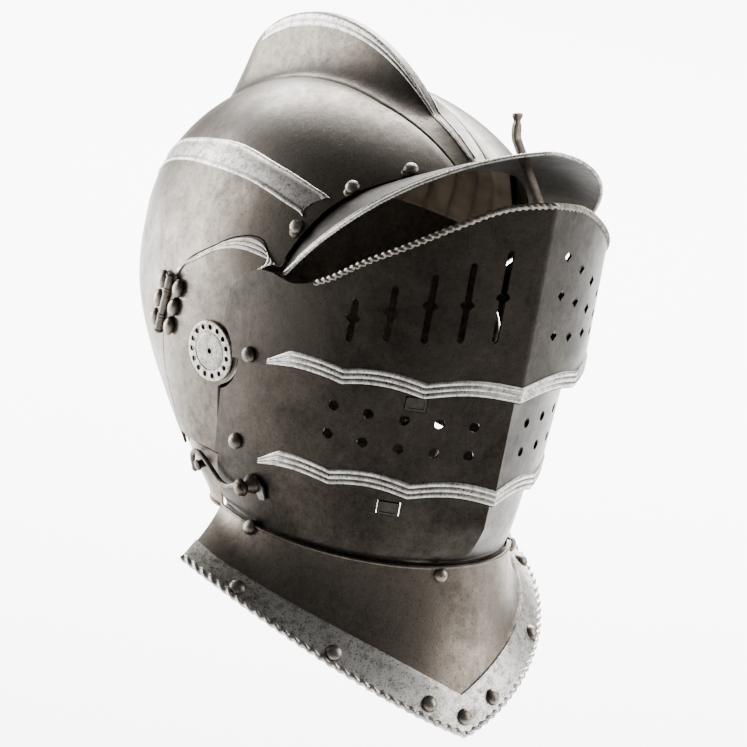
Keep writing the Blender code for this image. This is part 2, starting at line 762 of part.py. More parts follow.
def make_pin(name, side):
    mesh = bmesh.new()
    prism(mesh, hinge_frame(side), circle(PIN_RADIUS, 12), -HINGE_LENGTH / 2 - 0.5 * MM,
          HINGE_LENGTH / 2 + 0.5 * MM)
    return solid_from(f"hinge_pin_{name}", mesh, "bright_steel")


def make_hinge_rivets(name, side):
    place = hinge_frame(side)
    for which, forwards in (("skull", 1), ("cheek", -1)):
        for number, v in enumerate(spread(HINGE_LENGTH * 0.33, -HINGE_LENGTH * 0.33, 3), 1):
            guess = place @ Vector((0, 0, v))
            y = guess.y + forwards * 8.2 * MM
            normal = head_normal(side, y, guess.z)
            point = head_point(side, y, guess.z, LEAF_GAP + TOUCH + LEAF_THICKNESS)
            thing = dome(f"hinge_rivet_{which}_{name}_{number}", point, normal, "rivet_steel", 3.4 * MM,
                         2.4 * MM)
            if forwards < 0:
                move_origin(thing, hinge_axis(side)[0])


# ---------------------------------------------------------------- buffe

def plan(share, keel, width, rear_y=BUFFE_REAR_Y, blunt=0.4):
    """The buffe in plan: share 0 at the keel, 1 at the rear edge, and -1 on the other side."""
    points = ((0, -keel, 0), (width * (0.40 + blunt * 0.58), -keel * (0.845 + 0.17 * blunt), 0),
              (width * 1.03, -keel * (0.72 + 0.23 * blunt), 0), (width, rear_y, 0))
    point = bezier(points, abs(share))
    return Vector((math.copysign(point.x, share), point.y, 0))


def lame_width(z, step):
    """Half width of the buffe's side at height z; step counts plates inwards."""
    return UPPER_WIDTH - step * LAME_STEP - max(0, TAPER_Z - z) * WIDTH_TAPER


def upper_point(share, z):
    point = plan(share, UPPER_KEEL, UPPER_WIDTH)
    point.z = z
    return point


def upper_top(share):
    """Upper edge of the upper lame: high at the keel, a low bow under the eye, a rounded rear corner."""
    edge = ((0.0, 0.0835), (0.16, 0.0785), (0.33, 0.065), (0.5, 0.0485), (0.62, 0.036), (0.74, 0.0195),
            (0.83, 0.0115), (0.90, 0.0125), (0.95, 0.0085), (1.0, -0.0065))
    return through(edge, abs(share))[0] - RIM_SKEW * plan(share, UPPER_KEEL, UPPER_WIDTH).x * (1 - abs(share))


def scallop(share, depth=3.5 * MM):
    """Three shallow arcs on each side between points on the lower edge."""
    arcs = (0.0, 0.33, 0.62, 0.90)
    s = abs(share)
    for low, high in zip(arcs, arcs[1:]):
        if low <= s <= high:
            return depth * math.sin(math.pi * (s - low) / (high - low))
    return 0.0


def upper_bottom(share):
    s = abs(share)
    return UPPER_BOTTOM_Z - 3.5 * MM + scallop(share) - 11.5 * MM * max(0, (s - 0.55) / 0.45) ** 1.5


def middle_point(share, z):
    keel = MIDDLE_KEEL - max(0, TAPER_Z - z) * 0.024
    point = plan(share, keel, lame_width(z, 1), blunt=0.22)
    point.z = z
    return point


def middle_bottom(share):
    s = abs(share)
    return MIDDLE_BOTTOM_Z - 3 * MM + scallop(share) - 8 * MM * max(0, (s - 0.55) / 0.45) ** 1.5


def bevor_point(share, down):
    """down is 0 at the top edge, 1 at the chin line and 2 at the neck."""
    top = plan(share, BEVOR_KEEL, lame_width(BEVOR_TOP_Z, 2), blunt=0.16)
    chin = plan(share, BEVOR_KEEL - 1.5 * MM, lame_width(CHIN_Z, 2), blunt=0.12)
    if down <= 1:
        point = top.lerp(chin, down)
        point.z = BEVOR_TOP_Z + (CHIN_Z - BEVOR_TOP_Z) * down
        return point
    chin.z = CHIN_Z
    neck = neck_point(share)
    control = chin.lerp(neck, 0.35)
    control.z = CHIN_Z + (NECK_Z - CHIN_Z) * 0.72
    t = down - 1
    return chin * (1 - t) ** 2 + control * (2 * t * (1 - t)) + neck * t ** 2


def neck_point(share, z=NECK_Z):
    """The neck ring, shared by the bevor's lower edge and the gorget's upper edge."""
    rear = math.pi / 2 + math.asin((BUFFE_REAR_Y - NECK_CENTRE_Y) / NECK_FRONT)
    angle = rear * share
    return Vector((NECK_WIDTH * math.sin(angle), NECK_CENTRE_Y - NECK_FRONT * math.cos(angle), z))


def buffe_normal(point_at, share, z):
    a = point_at(share + 0.01, z) - point_at(share - 0.01, z)
    b = point_at(share, z + 1 * MM) - point_at(share, z - 1 * MM)
    normal = a.cross(b).normalized()
    return normal if normal.dot(from_axis(point_at(share, z))) > 0 else -normal


def share_at_arc(point_at, distance, z):
    """The plan share that lies a distance from the keel along a plate; negative on the right."""
    walked, share, step = 0.0, 0.0, 0.01
    here = point_at(0, z)
    while walked < abs(distance) and share < 1:
        there = point_at(share + step, z)
        walked += (there - here).length
        here, share = there, share + step
    return math.copysign(share - (walked - abs(distance)) / (there - point_at(share - step, z)).length * step,
                         distance)


def share_at_y(point_at, side, y, z):
    """The plan share at which a plate's side reaches y, behind the keel."""
    low, high = 0.5, 1.0
    for _ in range(30):
        middle = (low + high) / 2
        if point_at(middle * side, z).y < y:
            low = middle
        else:
            high = middle
    return low * side


def pivot_holes(name, centres, radius=PIVOT_HOLE):
    mesh = bmesh.new()
    for side in (-1, 1):
        for y, z in centres:
            place = frame_at((side * 0.08, y, z), (side, 0, 0))
            prism(mesh, place, circle(radius, 12), 0, 40 * MM)
    return cutter(name, mesh)


def ear_notch(name):
    mesh = bmesh.new()
    for side in (-1, 1):
        place = frame_at((side * 0.08, EAR_Y, EAR_Z), (side, 0, 0))
        prism(mesh, place, circle(EAR_NOTCH_RADIUS, 28), 0, 40 * MM)
    return cutter(name, mesh)


SIGHT_FIRST = 22.5 * MM       # from the keel, along the plate
SIGHT_SPACING = 20.5 * MM
# top, lobe and bottom heights
SIGHTS = ((0.0565, 0.0295, 0.003), (0.0485, 0.024, 0.002), (0.040, 0.0215, 0.000), (0.0295, 0.0145, -0.002),
          (0.017, 0.006, -0.0076))
LOZENGE_FIRST = 21 * MM
LOZENGE_SPACING = 17 * MM
LOZENGES = ((0.051, 0.0285, 0.005), (0.041, 0.022, 0.002), (0.031, 0.015, 0.001), (0.020, 0.008, -0.002))


def make_upper_lame():
    shares = spread(-1, 1, 33)
    rows = []
    for up in spread(0, 1, 4):
        row = []
        for share in shares:
            low, high = upper_bottom(share), upper_top(share)
            row.append(upper_point(share, low + (high - low) * up))
        rows.append(row)
    thing = plate("upper_lame", rows, "dark_steel")
    cut(thing, ear_notch("upper_ear_notch"))
    cut(thing, pivot_holes("upper_pivot_holes", [UPPER_PIVOT]))
    slots = bmesh.new()
    for number, (high, lobe_z, low) in enumerate(SIGHTS):
        share = share_at_arc(upper_point, -(SIGHT_FIRST + SIGHT_SPACING * number), lobe_z)
        place = sheet_frame(upper_point, share, lobe_z)
        w, lobe = SIGHT_WIDTH / 2, SIGHT_LOBE / 2
        right = [(w, high - lobe_z), (w, w), (lobe, 0), (w, -w), (w, low - lobe_z)]
        prism(slots, place, right + [(-x, y) for x, y in reversed(right)], -8 * MM, 8 * MM)
    for number, heights in enumerate(LOZENGES):
        for z in heights:
            share = share_at_arc(upper_point, LOZENGE_FIRST + LOZENGE_SPACING * number, z)
            prism(slots, sheet_frame(upper_point, share, z), circle(BREATH_RADIUS * 1.1, 4, 0), -8 * MM, 8 * MM)
    cut(thing, cutter("sight_slots", slots))
    move_origin(thing, (0, *UPPER_PIVOT))
    return thing


def sheet_frame(point_at, share, z):
    return frame_at(point_at(share, z), buffe_normal(point_at, share, z))


BREATH_FIRST = 20.5 * MM
BREATH_SPACING = 20 * MM
BREATH_COLUMNS = 5
BREATH_ROWS = (-0.048, -0.065)


def make_middle_lame():
    shares = spread(-1, 1, 33)
    rows = []
    for up in spread(0, 1, 7):
        rows.append([middle_point(s, middle_bottom(s) + (MIDDLE_TOP_Z - middle_bottom(s)) * up)
                     for s in shares])
    thing = plate("middle_lame", rows, "dark_steel")
    cut(thing, ear_notch("middle_ear_notch"))
    cut(thing, pivot_holes("middle_pivot_holes", [UPPER_PIVOT, MIDDLE_PIVOT]))
    holes = bmesh.new()
    for side in (-1, 1):
        for column in range(BREATH_COLUMNS):
            for z in BREATH_ROWS:
                share = share_at_arc(middle_point, side * (BREATH_FIRST + BREATH_SPACING * column), z)
                prism(holes, sheet_frame(middle_point, share, z), circle(BREATH_RADIUS, 6), -8 * MM, 8 * MM)
    prism(holes, catch_frame("upper"), catch_hole(), -8 * MM, 8 * MM)
    cut(thing, cutter("breath_holes", holes))
    move_origin(thing, (0, *MIDDLE_PIVOT))
    return thing


def make_bevor():
    rows = [[bevor_point(share, down) for share in spread(-1, 1, 33)]
            for down in (0, 0.5, 1, 1.3, 1.6, 1.85, 2)]
    thing = plate("bevor", rows, "dark_steel")
    cut(thing, pivot_holes("bevor_pivot_holes", [MIDDLE_PIVOT]))
    hole = bmesh.new()
    prism(hole, catch_frame("lower"), catch_hole(), -8 * MM, 8 * MM)
    cut(thing, cutter("lower_catch_hole", hole))
    return thing


def make_pivot_rivets():
    for name, side in SIDES:
        pairs = (("upper", UPPER_PIVOT, upper_point), ("middle", MIDDLE_PIVOT, middle_point))
        for which, (y, z), point_at in pairs:
            share = share_at_y(point_at, side, y, z)
            x = abs(point_at(share, z).x) + 2 * TOUCH
            depth = 2 * PLATE + LAME_STEP + 1.5 * MM
            thing = dome(f"{which}_pivot_rivet_{name}", (side * x, y, z), (side, 0, 0), "rivet_steel",
                         4.6 * MM, 3.4 * MM, shank=(PIVOT_RADIUS, depth))
            move_origin(thing, (0, y, z))


# ---------------------------------------------------------------- spring catches

def catch_hole():
    return rectangle(CATCH_WIDTH + 2 * CATCH_CLEARANCE, CATCH_HEIGHT + 2 * CATCH_CLEARANCE)


def bevor_at(share, z):
    return bevor_point(share, (z - BEVOR_TOP_Z) / (CHIN_Z - BEVOR_TOP_Z))


def catch_frame(which):
    if which == "upper":
        z = UPPER_BOTTOM_Z - 3.5 * MM - CATCH_DROP
        return sheet_frame(middle_point, share_at_arc(middle_point, -CATCH_FROM_KEEL, z), z)
    z = MIDDLE_BOTTOM_Z - 5 * MM - CATCH_DROP
    return sheet_frame(bevor_at, share_at_arc(bevor_at, -CATCH_FROM_KEEL, z), z)


BUTTON_DEPTH = PLATE + 2.4 * MM
LEAF_SPRING = 0.8 * MM
FOOT_FRONT = PLATE + 0.9 * MM
LEAF_SPRING_LENGTH = 18 * MM
CATCH_FOOT = (0, -12 * MM, -PLATE - 2 * MM)   # about which the spring bends


def make_catch(which):
    """A button that stands through its plate, and the leaf spring behind it that pushes it out."""
    place = catch_frame(which)
    mesh = bmesh.new()
    prism(mesh, place, rectangle(CATCH_WIDTH, CATCH_HEIGHT), -BUTTON_DEPTH, CATCH_PROUD)
    button = solid_from(f"{which}_catch", mesh, "spring_steel")
    front = -BUTTON_DEPTH - TOUCH
    low = 4 * MM - LEAF_SPRING_LENGTH
    side = [(4 * MM, front), (4 * MM, front - LEAF_SPRING), (low, front - LEAF_SPRING),
            (low, -FOOT_FRONT), (low + 4 * MM, -FOOT_FRONT), (low + 4 * MM, front)]
    along = place @ Matrix(((0, 0, 1, 0), (1, 0, 0, 0), (0, 1, 0, 0), (0, 0, 0, 1)))
    leaf = bmesh.new()
    prism(leaf, along, side, -4 * MM, 4 * MM)
    spring = solid_from(f"{which}_catch_spring", leaf, "spring_steel")
    for thing in (button, spring):
        move_origin(thing, place @ Vector(CATCH_FOOT))


# ---------------------------------------------------------------- gorget

def gorget_point(share, down):
    """down is 0 at the neck ring and 1 at the pointed lower edge."""
    neck = neck_point(share, NECK_Z - 1.2 * MM)
    neck += Vector((neck.x, neck.y - NECK_CENTRE_Y, 0)).normalized() * 2.6 * MM
    edge = bezier(GORGET_EDGE, abs(share))
    edge.x = math.copysign(edge.x, share)
    control = neck.lerp(edge, 0.22)
    control.z = neck.z + (edge.z - neck.z) * 0.52
    return neck * (1 - down) ** 2 + control * (2 * down * (1 - down)) + edge * down ** 2


def gorget_normal(share, down):
    a = gorget_point(share + 0.01, down) - gorget_point(share - 0.01, down)
    b = gorget_point(share, down + 0.01) - gorget_point(share, down - 0.01)
    normal = a.cross(b).normalized()
    outward = Vector((normal.x * math.copysign(1, share) if share else 0, -normal.y, normal.z))
    return normal if normal.z > 0 or outward.y > 0 and normal.z > -0.1 else -normal


def outside_gorget(point):
    return Vector((point.x, point.y + 0.05, 0.08))


def make_gorget():
    rows = [[gorget_point(share, down) for share in spread(-1, 1, 27)]
            for down in (0, 0.15, 0.35, 0.55, BORDER_START, 0.88, 1)]
    return plate("gorget", rows, "skull_steel", outward=outside_gorget)


BORDER_THICKNESS = 1.0 * MM


def make_gorget_border():
    rows = []
    for down in (BORDER_START, 0.88, 1):
        rows.append([gorget_point(s, down) + gorget_normal(s, down) * (BORDER_THICKNESS + TOUCH)
                     for s in spread(-1, 1, 27)])
    return plate("gorget_border", rows, "bright_steel", outward=outside_gorget, thickness=BORDER_THICKNESS)


BORDER_RIVET_DOWN = 0.885
BORDER_RIVETS = (-0.80, -0.47, -0.14, 0.0, 0.14, 0.47, 0.80)
NECK_RIVET_DOWN = 0.055
NECK_RIVETS = (-0.80, -0.08, 0.45, 0.80)


def make_gorget_rivets():
    for number, share in enumerate(BORDER_RIVETS, 1):
        normal = gorget_normal(share, BORDER_RIVET_DOWN)
        point = gorget_point(share, BORDER_RIVET_DOWN) + normal * (BORDER_THICKNESS + 3 * TOUCH)
        dome(f"border_rivet_{number}", point, normal, radius=4.6 * MM, height=3 * MM)
    for number, share in enumerate(NECK_RIVETS, 1):
        normal = gorget_normal(share, NECK_RIVET_DOWN)
        point = gorget_point(share, NECK_RIVET_DOWN) + normal * 3.5 * TOUCH
        dome(f"neck_rivet_{number}", point, normal)


# ---------------------------------------------------------------- nape plate and latch

NAPE_TOP_Z = -106.5 * MM
NAPE_LOW_Z = -138 * MM
NAPE_FRONT_Y = -19 * MM
NAPE_INSET = PLATE + 0.8 * MM


def nape_point(share, down):
    """The neck band behind the cheeks: it carries on the head's shape, one plate further in."""
    z = NAPE_TOP_Z + (NAPE_LOW_Z - NAPE_TOP_Z) * down
    width, back, front, centre = head_section(z)
    limit = math.acos((NAPE_FRONT_Y - centre) / front) if NAPE_FRONT_Y < centre else math.pi / 2
    return head_at(share * limit, z, -NAPE_INSET)


def make_nape_plate():
    rows = [[nape_point(share, down) for share in spread(-1, 1, 25)] for down in spread(0, 1, 6)]
    return plate("nape_plate", rows, "skull_steel", outward=lambda p: Vector((p.x, p.y + 0.03, 0)))


HOOK_PIVOT_Y = -53.5 * MM
HOOK_PIVOT_Z = -109.5 * MM
HOOK_LEAN = (-1.0, 0.13, -0.38)
HOOK_THICKNESS = 3 * MM
HOOK_STANDOFF = 6.3 * MM
HOOK_PIN = 2 * MM
# Middle line of the hook in its own plane, from the pivot: back is -x, up is y
HOOK_LINE = ((-1, 0), (-6, -0.5), (-12.2, -3.2), (-18, -5.8), (-24, -5.6), (-29, -3), (-35, 1), (-41.5, 4.2),
             (-47, 4.6), (-51.5, 2.2), (-53.2, -2.5), (-52.4, -8))
HOOK_STUD = (-46.5, -3.6)
STUD_RADIUS = 3.2 * MM


def hook_frame():
    """z points out of the helmet, x to the front and y up the plate."""
    down = 1 + (HOOK_PIVOT_Z - CHIN_Z) / (NECK_Z - CHIN_Z)
    sides = [bevor_point(-share, down) for share in spread(0.7, 1, 61)]
    return frame_at(min(sides, key=lambda p: abs(p.y - HOOK_PIVOT_Y)), HOOK_LEAN)


def stroke(points, half):
    """Outline of a bar of even width along a line of points."""
    line = [Vector(p) for p in points]
    left, right = [], []
    for i, p in enumerate(line):
        way = (line[min(i + 1, len(line) - 1)] - line[max(i - 1, 0)]).normalized()
        side = Vector((-way.y, way.x)) * half
        left.append(tuple(p + side))
        right.append(tuple(p - side))
    return left + right[::-1]


def make_hook():
    place = hook_frame()
    mesh = bmesh.new()
    line = [Vector((x, y)) * MM for x, y in HOOK_LINE]
    base = HOOK_STANDOFF + TOUCH
    prism(mesh, place, stroke(line, 1.7 * MM), base, base + HOOK_THICKNESS)
    thing = solid_from("latch_hook", mesh, "rivet_steel")
    for name, centre, radius in (("eye", line[0], 5.2 * MM), ("ball", line[-1], 2.3 * MM)):
        disc = bmesh.new()
        prism(disc, place @ Matrix.Translation((*centre, 0)), circle(radius, 14), base - 0.01 * MM,
              base + HOOK_THICKNESS + 0.01 * MM)
        cut(thing, cutter(f"hook_{name}", disc), "UNION")
    bore = bmesh.new()
    prism(bore, place, circle(HOOK_PIN + 0.2 * MM, 12), 0, base + 2 * HOOK_THICKNESS)
    cut(thing, cutter("hook_bore", bore))
    move_origin(thing, place.translation)
    return thing


def make_latch_fixings():
    place = hook_frame()
    normal = place.to_3x3() @ Vector((0, 0, 1))
    head = HOOK_STANDOFF + 2 * TOUCH + HOOK_THICKNESS
    dome("latch_pivot", place @ Vector((0, 0, head)), normal, "rivet_steel", 4 * MM, 2.4 * MM,
         shank=(HOOK_PIN, head - TOUCH - 0.4 * MM))
    stud_x, stud_y = HOOK_STUD
    top = place @ Vector((stud_x * MM, stud_y * MM, HOOK_STANDOFF + HOOK_THICKNESS + 0.8 * MM))
    mesh = bmesh.new()
    foot = frame_at(top, normal)
    length = 0.0
    step = 0.1 * MM
    while length < 20 * MM and not inside_nape(foot @ Vector((0, 0, -length))):
        length += step
    prism(mesh, foot, circle(STUD_RADIUS, 12), -length + 1.3 * MM, 0)
    solid_from("latch_stud", mesh, "dark_steel")


def inside_nape(point):
    width, back, front, centre = head_section(point.z)
    reach = back if point.y > centre else front
    inset = NAPE_INSET
    share = (point.x / (width - inset)) ** 2 + ((point.y - centre) / (reach - inset)) ** 2
    return share < 1


# ---------------------------------------------------------------- lining

LINING_BACK = 6 * MM        # behind the peak's flange


def make_lining():
    """A quilted cap inside the bowl, open in front of the brow, with a hole at its crown."""
    inset = PEAK_INSET + PLATE + 3 * TOUCH
    width, depth, height = BOWL_WIDTH - inset, BOWL_DEPTH - inset, BOWL_HEIGHT - inset
    rows = []
    for level in spread(math.radians(4), math.radians(84), 7):
        z = height * math.cos(level)
        centre = BOWL_CENTRE_Y - BOWL_LEAN * z
        front = (brow_y(z) + FLANGE + LINING_BACK - centre) / (depth * math.sin(level))
        limit = math.acos(max(-1, front))
        rows.append([Vector((width * math.sin(level) * math.sin(limit * s),
                             centre + depth * math.sin(level) * math.cos(limit * s), z))
                     for s in spread(-1, 1, 25)])
    return plate("lining", rows, "quilted_linen", outward=lambda p: Vector((p.x, p.y, p.z + 0.01)),
                 thickness=LINING)


def build():
    make_skull()
    make_peak()
    make_nasal_bar()
    make_brow_rivets()
    for name, side in SIDES:
        make_cheek(name, side)
        make_rosette(name, side)
        make_leaf(name, side, 1)
        make_leaf(name, side, -1)
        make_pin(name, side)
        make_hinge_rivets(name, side)
    make_upper_lame()
    make_middle_lame()
    make_bevor()
    make_pivot_rivets()
    make_catch("upper")
    make_catch("lower")
    make_gorget()
    make_gorget_border()
    make_gorget_rivets()
    make_nape_plate()
    make_hook()
    make_latch_fixings()
    make_lining()


build()
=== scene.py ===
# %% [markdown]
# # A close burgonet with a falling buffe
# This lesson dresses a working steel helmet. The frame already holds every plate, hinge, hook and
# spring at its true size, and knows how each one moves. Here each piece gets a finer surface, its
# raised borders, its twisted edges and its old steel. Metres, +Z up, the face looks along -Y and the
# wearer's right side is -X.

# %% Load the frame
import json
import math

import bmesh
import bpy
from mathutils import Matrix, Vector

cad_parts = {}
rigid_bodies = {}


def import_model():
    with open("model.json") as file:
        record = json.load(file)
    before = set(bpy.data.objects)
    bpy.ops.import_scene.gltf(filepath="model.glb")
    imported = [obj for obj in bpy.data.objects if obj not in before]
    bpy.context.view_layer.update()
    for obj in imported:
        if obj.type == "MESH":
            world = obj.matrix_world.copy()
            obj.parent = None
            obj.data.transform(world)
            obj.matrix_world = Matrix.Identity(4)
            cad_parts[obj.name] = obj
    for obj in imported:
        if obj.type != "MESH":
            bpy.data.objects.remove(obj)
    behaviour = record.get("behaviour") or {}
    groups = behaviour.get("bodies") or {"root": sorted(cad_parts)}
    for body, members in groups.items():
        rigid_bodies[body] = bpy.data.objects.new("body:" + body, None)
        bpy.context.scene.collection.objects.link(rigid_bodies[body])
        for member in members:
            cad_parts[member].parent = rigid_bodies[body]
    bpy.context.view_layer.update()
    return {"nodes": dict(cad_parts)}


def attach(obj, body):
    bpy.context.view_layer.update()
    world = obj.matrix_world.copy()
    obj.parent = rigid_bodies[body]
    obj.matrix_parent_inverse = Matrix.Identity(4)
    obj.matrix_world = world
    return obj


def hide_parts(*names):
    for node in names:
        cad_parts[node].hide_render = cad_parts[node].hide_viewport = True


MM = 0.001
for left_over in list(bpy.data.objects):
    bpy.data.objects.remove(left_over, do_unlink=True)
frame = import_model()
print("pieces in the frame:", len(frame["nodes"]))

# %% [markdown]
# ## Old steel
# Armour steel is never one grey. It is planished by hand, so it ripples; it rusts and is cleaned, so it
# is mottled; and its raised borders are rubbed bright while their grooves stay dark. An image could
# give that, but noise on object coordinates has no seams on any plate. One function builds every
# finish, so the plates look like one suit, and an attribute called wear says where metal is rubbed.

# %% One function for every steel
FINISH_SCALES = {"cloud": 26, "speck": 210, "pit": 900, "ripple": 75}


def steel(name, dark, light, rough=0.38, pits=0.5, worn=None, ripple=0.35, metal=0.92, spread_of=0.16):
    """An aged steel. dark and light are the ends of its mottling; worn is its rubbed colour."""
    made = bpy.data.materials.new(name)
    made.use_nodes = True
    tree = made.node_tree
    shader = tree.nodes["Principled BSDF"]
    place = tree.nodes.new("ShaderNodeTexCoord").outputs["Object"]

    def noise(scale, detail, roughness=0.6, distortion=0.0):
        node = tree.nodes.new("ShaderNodeTexNoise")
        node.inputs["Scale"].default_value = scale
        node.inputs["Detail"].default_value = detail
        node.inputs["Roughness"].default_value = roughness
        node.inputs["Distortion"].default_value = distortion
        tree.links.new(place, node.inputs["Vector"])
        return node.outputs["Fac"]

    def ranged(value, low, high, out_low=0.0, out_high=1.0):
        node = tree.nodes.new("ShaderNodeMapRange")
        for socket, number in zip(node.inputs[1:5], (low, high, out_low, out_high)):
            socket.default_value = number
        tree.links.new(value, node.inputs["Value"])
        return node.outputs["Result"]

    def sums(operation, a, b):
        node = tree.nodes.new("ShaderNodeMath")
        node.operation = operation
        for socket, value in zip(node.inputs, (a, b)):
            if isinstance(value, (int, float)):
                socket.default_value = value
            else:
                tree.links.new(value, socket)
        return node.outputs["Value"]

    def mixed(share, a, b):
        node = tree.nodes.new("ShaderNodeMix")
        node.data_type = "RGBA"
        tree.links.new(share, node.inputs["Factor"])
        for socket, value in zip((node.inputs["A"], node.inputs["B"]), (a, b)):
            if isinstance(value, tuple):
                socket.default_value = (*value, 1)
            else:
                tree.links.new(value, socket)
        return node.outputs["Result"]

    cloud = noise(FINISH_SCALES["cloud"], 7, 0.62, 0.6)
    speck = noise(FINISH_SCALES["speck"], 5, 0.7)
    pit = ranged(noise(FINISH_SCALES["pit"], 2), 0.56, 0.68)
    both = sums("ADD", sums("MULTIPLY", cloud, 0.62), sums("MULTIPLY", speck, 0.38))
    colour = mixed(ranged(both, 0.5 - spread_of, 0.5 + spread_of), dark, light)
    rough_value = ranged(both, 0.34, 0.66, rough + 0.12, rough - 0.06)
    if worn:
        wear = tree.nodes.new("ShaderNodeAttribute")
        wear.attribute_name = "wear"
        rubbed = sums("MULTIPLY", wear.outputs["Fac"], ranged(speck, 0.36, 0.56, 0.25, 1.0))
        colour = mixed(rubbed, colour, worn)
    black = (dark[0] * 0.28, dark[1] * 0.26, dark[2] * 0.24)
    colour = mixed(sums("MULTIPLY", pit, pits), colour, black)
    tree.links.new(colour, shader.inputs["Base Color"])
    tree.links.new(rough_value, shader.inputs["Roughness"])
    shader.inputs["Metallic"].default_value = metal

    ripples = sums("MULTIPLY", noise(FINISH_SCALES["ripple"], 2, 0.4), ripple)
    raised = sums("ADD", ripples, sums("MULTIPLY", speck, 0.16))
    height = sums("SUBTRACT", raised, sums("MULTIPLY", pit, 0.05))
    bump = tree.nodes.new("ShaderNodeBump")
    bump.inputs["Strength"].default_value = 0.5
    bump.inputs["Distance"].default_value = 1.2 * MM
    tree.links.new(height, bump.inputs["Height"])
    tree.links.new(bump.outputs["Normal"], shader.inputs["Normal"])
    return made


# %% The finishes of this helmet
skull_steel = steel("aged_skull_steel", (0.075, 0.062, 0.050), (0.25, 0.22, 0.185), 0.34)
comb_steel = steel("aged_comb_steel", (0.17, 0.15, 0.125), (0.52, 0.48, 0.42), 0.42, 0.75, (0.75, 0.72, 0.66))
# The buffe and peak steel is near-black, far darker than the skull's. This is painted shade: the dark
# reflection on the near side of the keel is given to these whole plates as colour.
buffe_painted_shade_steel = steel("aged_buffe_painted_shade_steel", (0.018, 0.0145, 0.0112), (0.068, 0.057, 0.046), 0.33)
collar_steel = steel("aged_collar_steel", (0.105, 0.088, 0.071), (0.34, 0.29, 0.24), 0.36)
border_steel = steel("aged_border_steel", (0.11, 0.095, 0.08), (0.46, 0.42, 0.37), 0.38, 0.9,
                     (0.86, 0.83, 0.78), 0.2)
rivet_steel = steel("aged_rivet_steel", (0.075, 0.062, 0.050), (0.24, 0.205, 0.17), 0.38, 0.6,
                    (0.50, 0.45, 0.39), 0.2)
spring_steel = steel("aged_spring_steel", (0.035, 0.031, 0.027), (0.09, 0.082, 0.072), 0.3, 0.4,
                     (0.45, 0.42, 0.38), 0.1)
print("finishes:", [m.name for m in bpy.data.materials if m.name.startswith("aged_")])

# %% [markdown]
# ## Helpers for sheets
# Every plate is a sheet of iron with an outer face that follows a rule. A grid of points on that face
# plus a Solidify modifier gives a clean wall, and the rule keeps each plate on the frame's own plate.
# Carving a block would give the same look with far more faces and no even wall.

# %% Grids, frames and curves
PLATE = 1.6 * MM
TOUCH = 0.3 * MM
SIDES = (("right", -1), ("left", 1))


def spread(low, high, count):
    return [low + (high - low) * i / (count - 1) for i in range(count)]


def from_axis(point):
    """Outside, for the plates that wrap the head."""
    return Vector((point.x, point.y + 0.03, 0.6 * (point.z + 0.04)))


def sheet_mesh(name, rows, outward=None, wear=None, closed=False):
    """A sheet of quads through rows of points; closed joins the last row to the first."""
    mesh = bmesh.new()
    layer = mesh.verts.layers.float.new("wear")
    verts = []
    for i, row in enumerate(rows):
        verts.append([mesh.verts.new(p) for p in row])
        for j, vert in enumerate(verts[-1]):
            vert[layer] = wear[i][j] if wear else 0.0
    pairs = list(zip(verts, verts[1:])) + ([(verts[-1], verts[0])] if closed else [])
    for low, high in pairs:
        for a, b, c, d in zip(low, low[1:], high[1:], high):
            mesh.faces.new((a, b, c, d))
    bmesh.ops.remove_doubles(mesh, verts=mesh.verts, dist=0.01 * MM)
    if outward:
        mesh.normal_update()
        score = sum(f.normal.dot(outward(f.calc_center_median())) * f.calc_area() for f in mesh.faces)
        if score < 0:
            bmesh.ops.reverse_faces(mesh, faces=mesh.faces)
    data = bpy.data.meshes.new(name)
    mesh.to_mesh(data)
    mesh.free()
    return data


def add(name, data):
    thing = bpy.data.objects.new(name, data)
    bpy.context.scene.collection.objects.link(thing)
    return thing


def plate(name, rows, outward=from_axis, thickness=PLATE, wear=None):
    """A plate whose outer face is the sheet through the rows."""
    thing = add(name, sheet_mesh(name, rows, outward, wear))
    solid = thing.modifiers.new("wall", "SOLIDIFY")
    solid.thickness = thickness
    solid.offset = -1
    solid.use_even_offset = True
    return thing


def frame_at(point, normal, up=(0, 0, 1)):
    """A matrix at point whose z is the normal and whose y is as near to up as it can be."""
    z = Vector(normal).normalized()
    x = Vector(up).cross(z).normalized()
    turn = Matrix((x, z.cross(x), z)).transposed().to_4x4()
    return Matrix.Translation(Vector(point)) @ turn


def bezier(points, t):
    a, b, c, d = (Vector(p) for p in points)
    s = 1 - t
    return a * s ** 3 + b * (3 * s * s * t) + c * (3 * s * t * t) + d * t ** 3


def through(stations, x):
    """A smooth value read from (x, value, ...) stations, which run either way."""
    keys = [s[0] for s in stations]
    step = 1 if keys[-1] > keys[0] else -1
    i = 0
    while i < len(keys) - 2 and (x - keys[i + 1]) * step > 0:
        i += 1
    span = keys[i + 1] - keys[i]
    t = min(1, max(0, (x - keys[i]) / span))
    result = []
    for k in range(1, len(stations[0])):
        here, there = stations[i][k], stations[i + 1][k]
        before = stations[max(0, i - 1)]
        after = stations[min(len(keys) - 1, i + 2)]
        slope_a = (there - before[k]) / (keys[i + 1] - before[0]) * span
        slope_b = (after[k] - here) / (after[0] - keys[i]) * span
        h = t * t * (3 - 2 * t)
        bend = t * (1 - t) * ((1 - t) * slope_a - t * slope_b)
        result.append(here * (1 - h) + there * h + bend)
    return result


# %% [markdown]
# Pieces are finished one at a time. Modifiers such as Solidify and Boolean are worked into a plain mesh
# with new_from_object, because a plain mesh looks the same in every program. Then the piece rides the
# body it belongs to and stands in for the frame's own coarse piece.

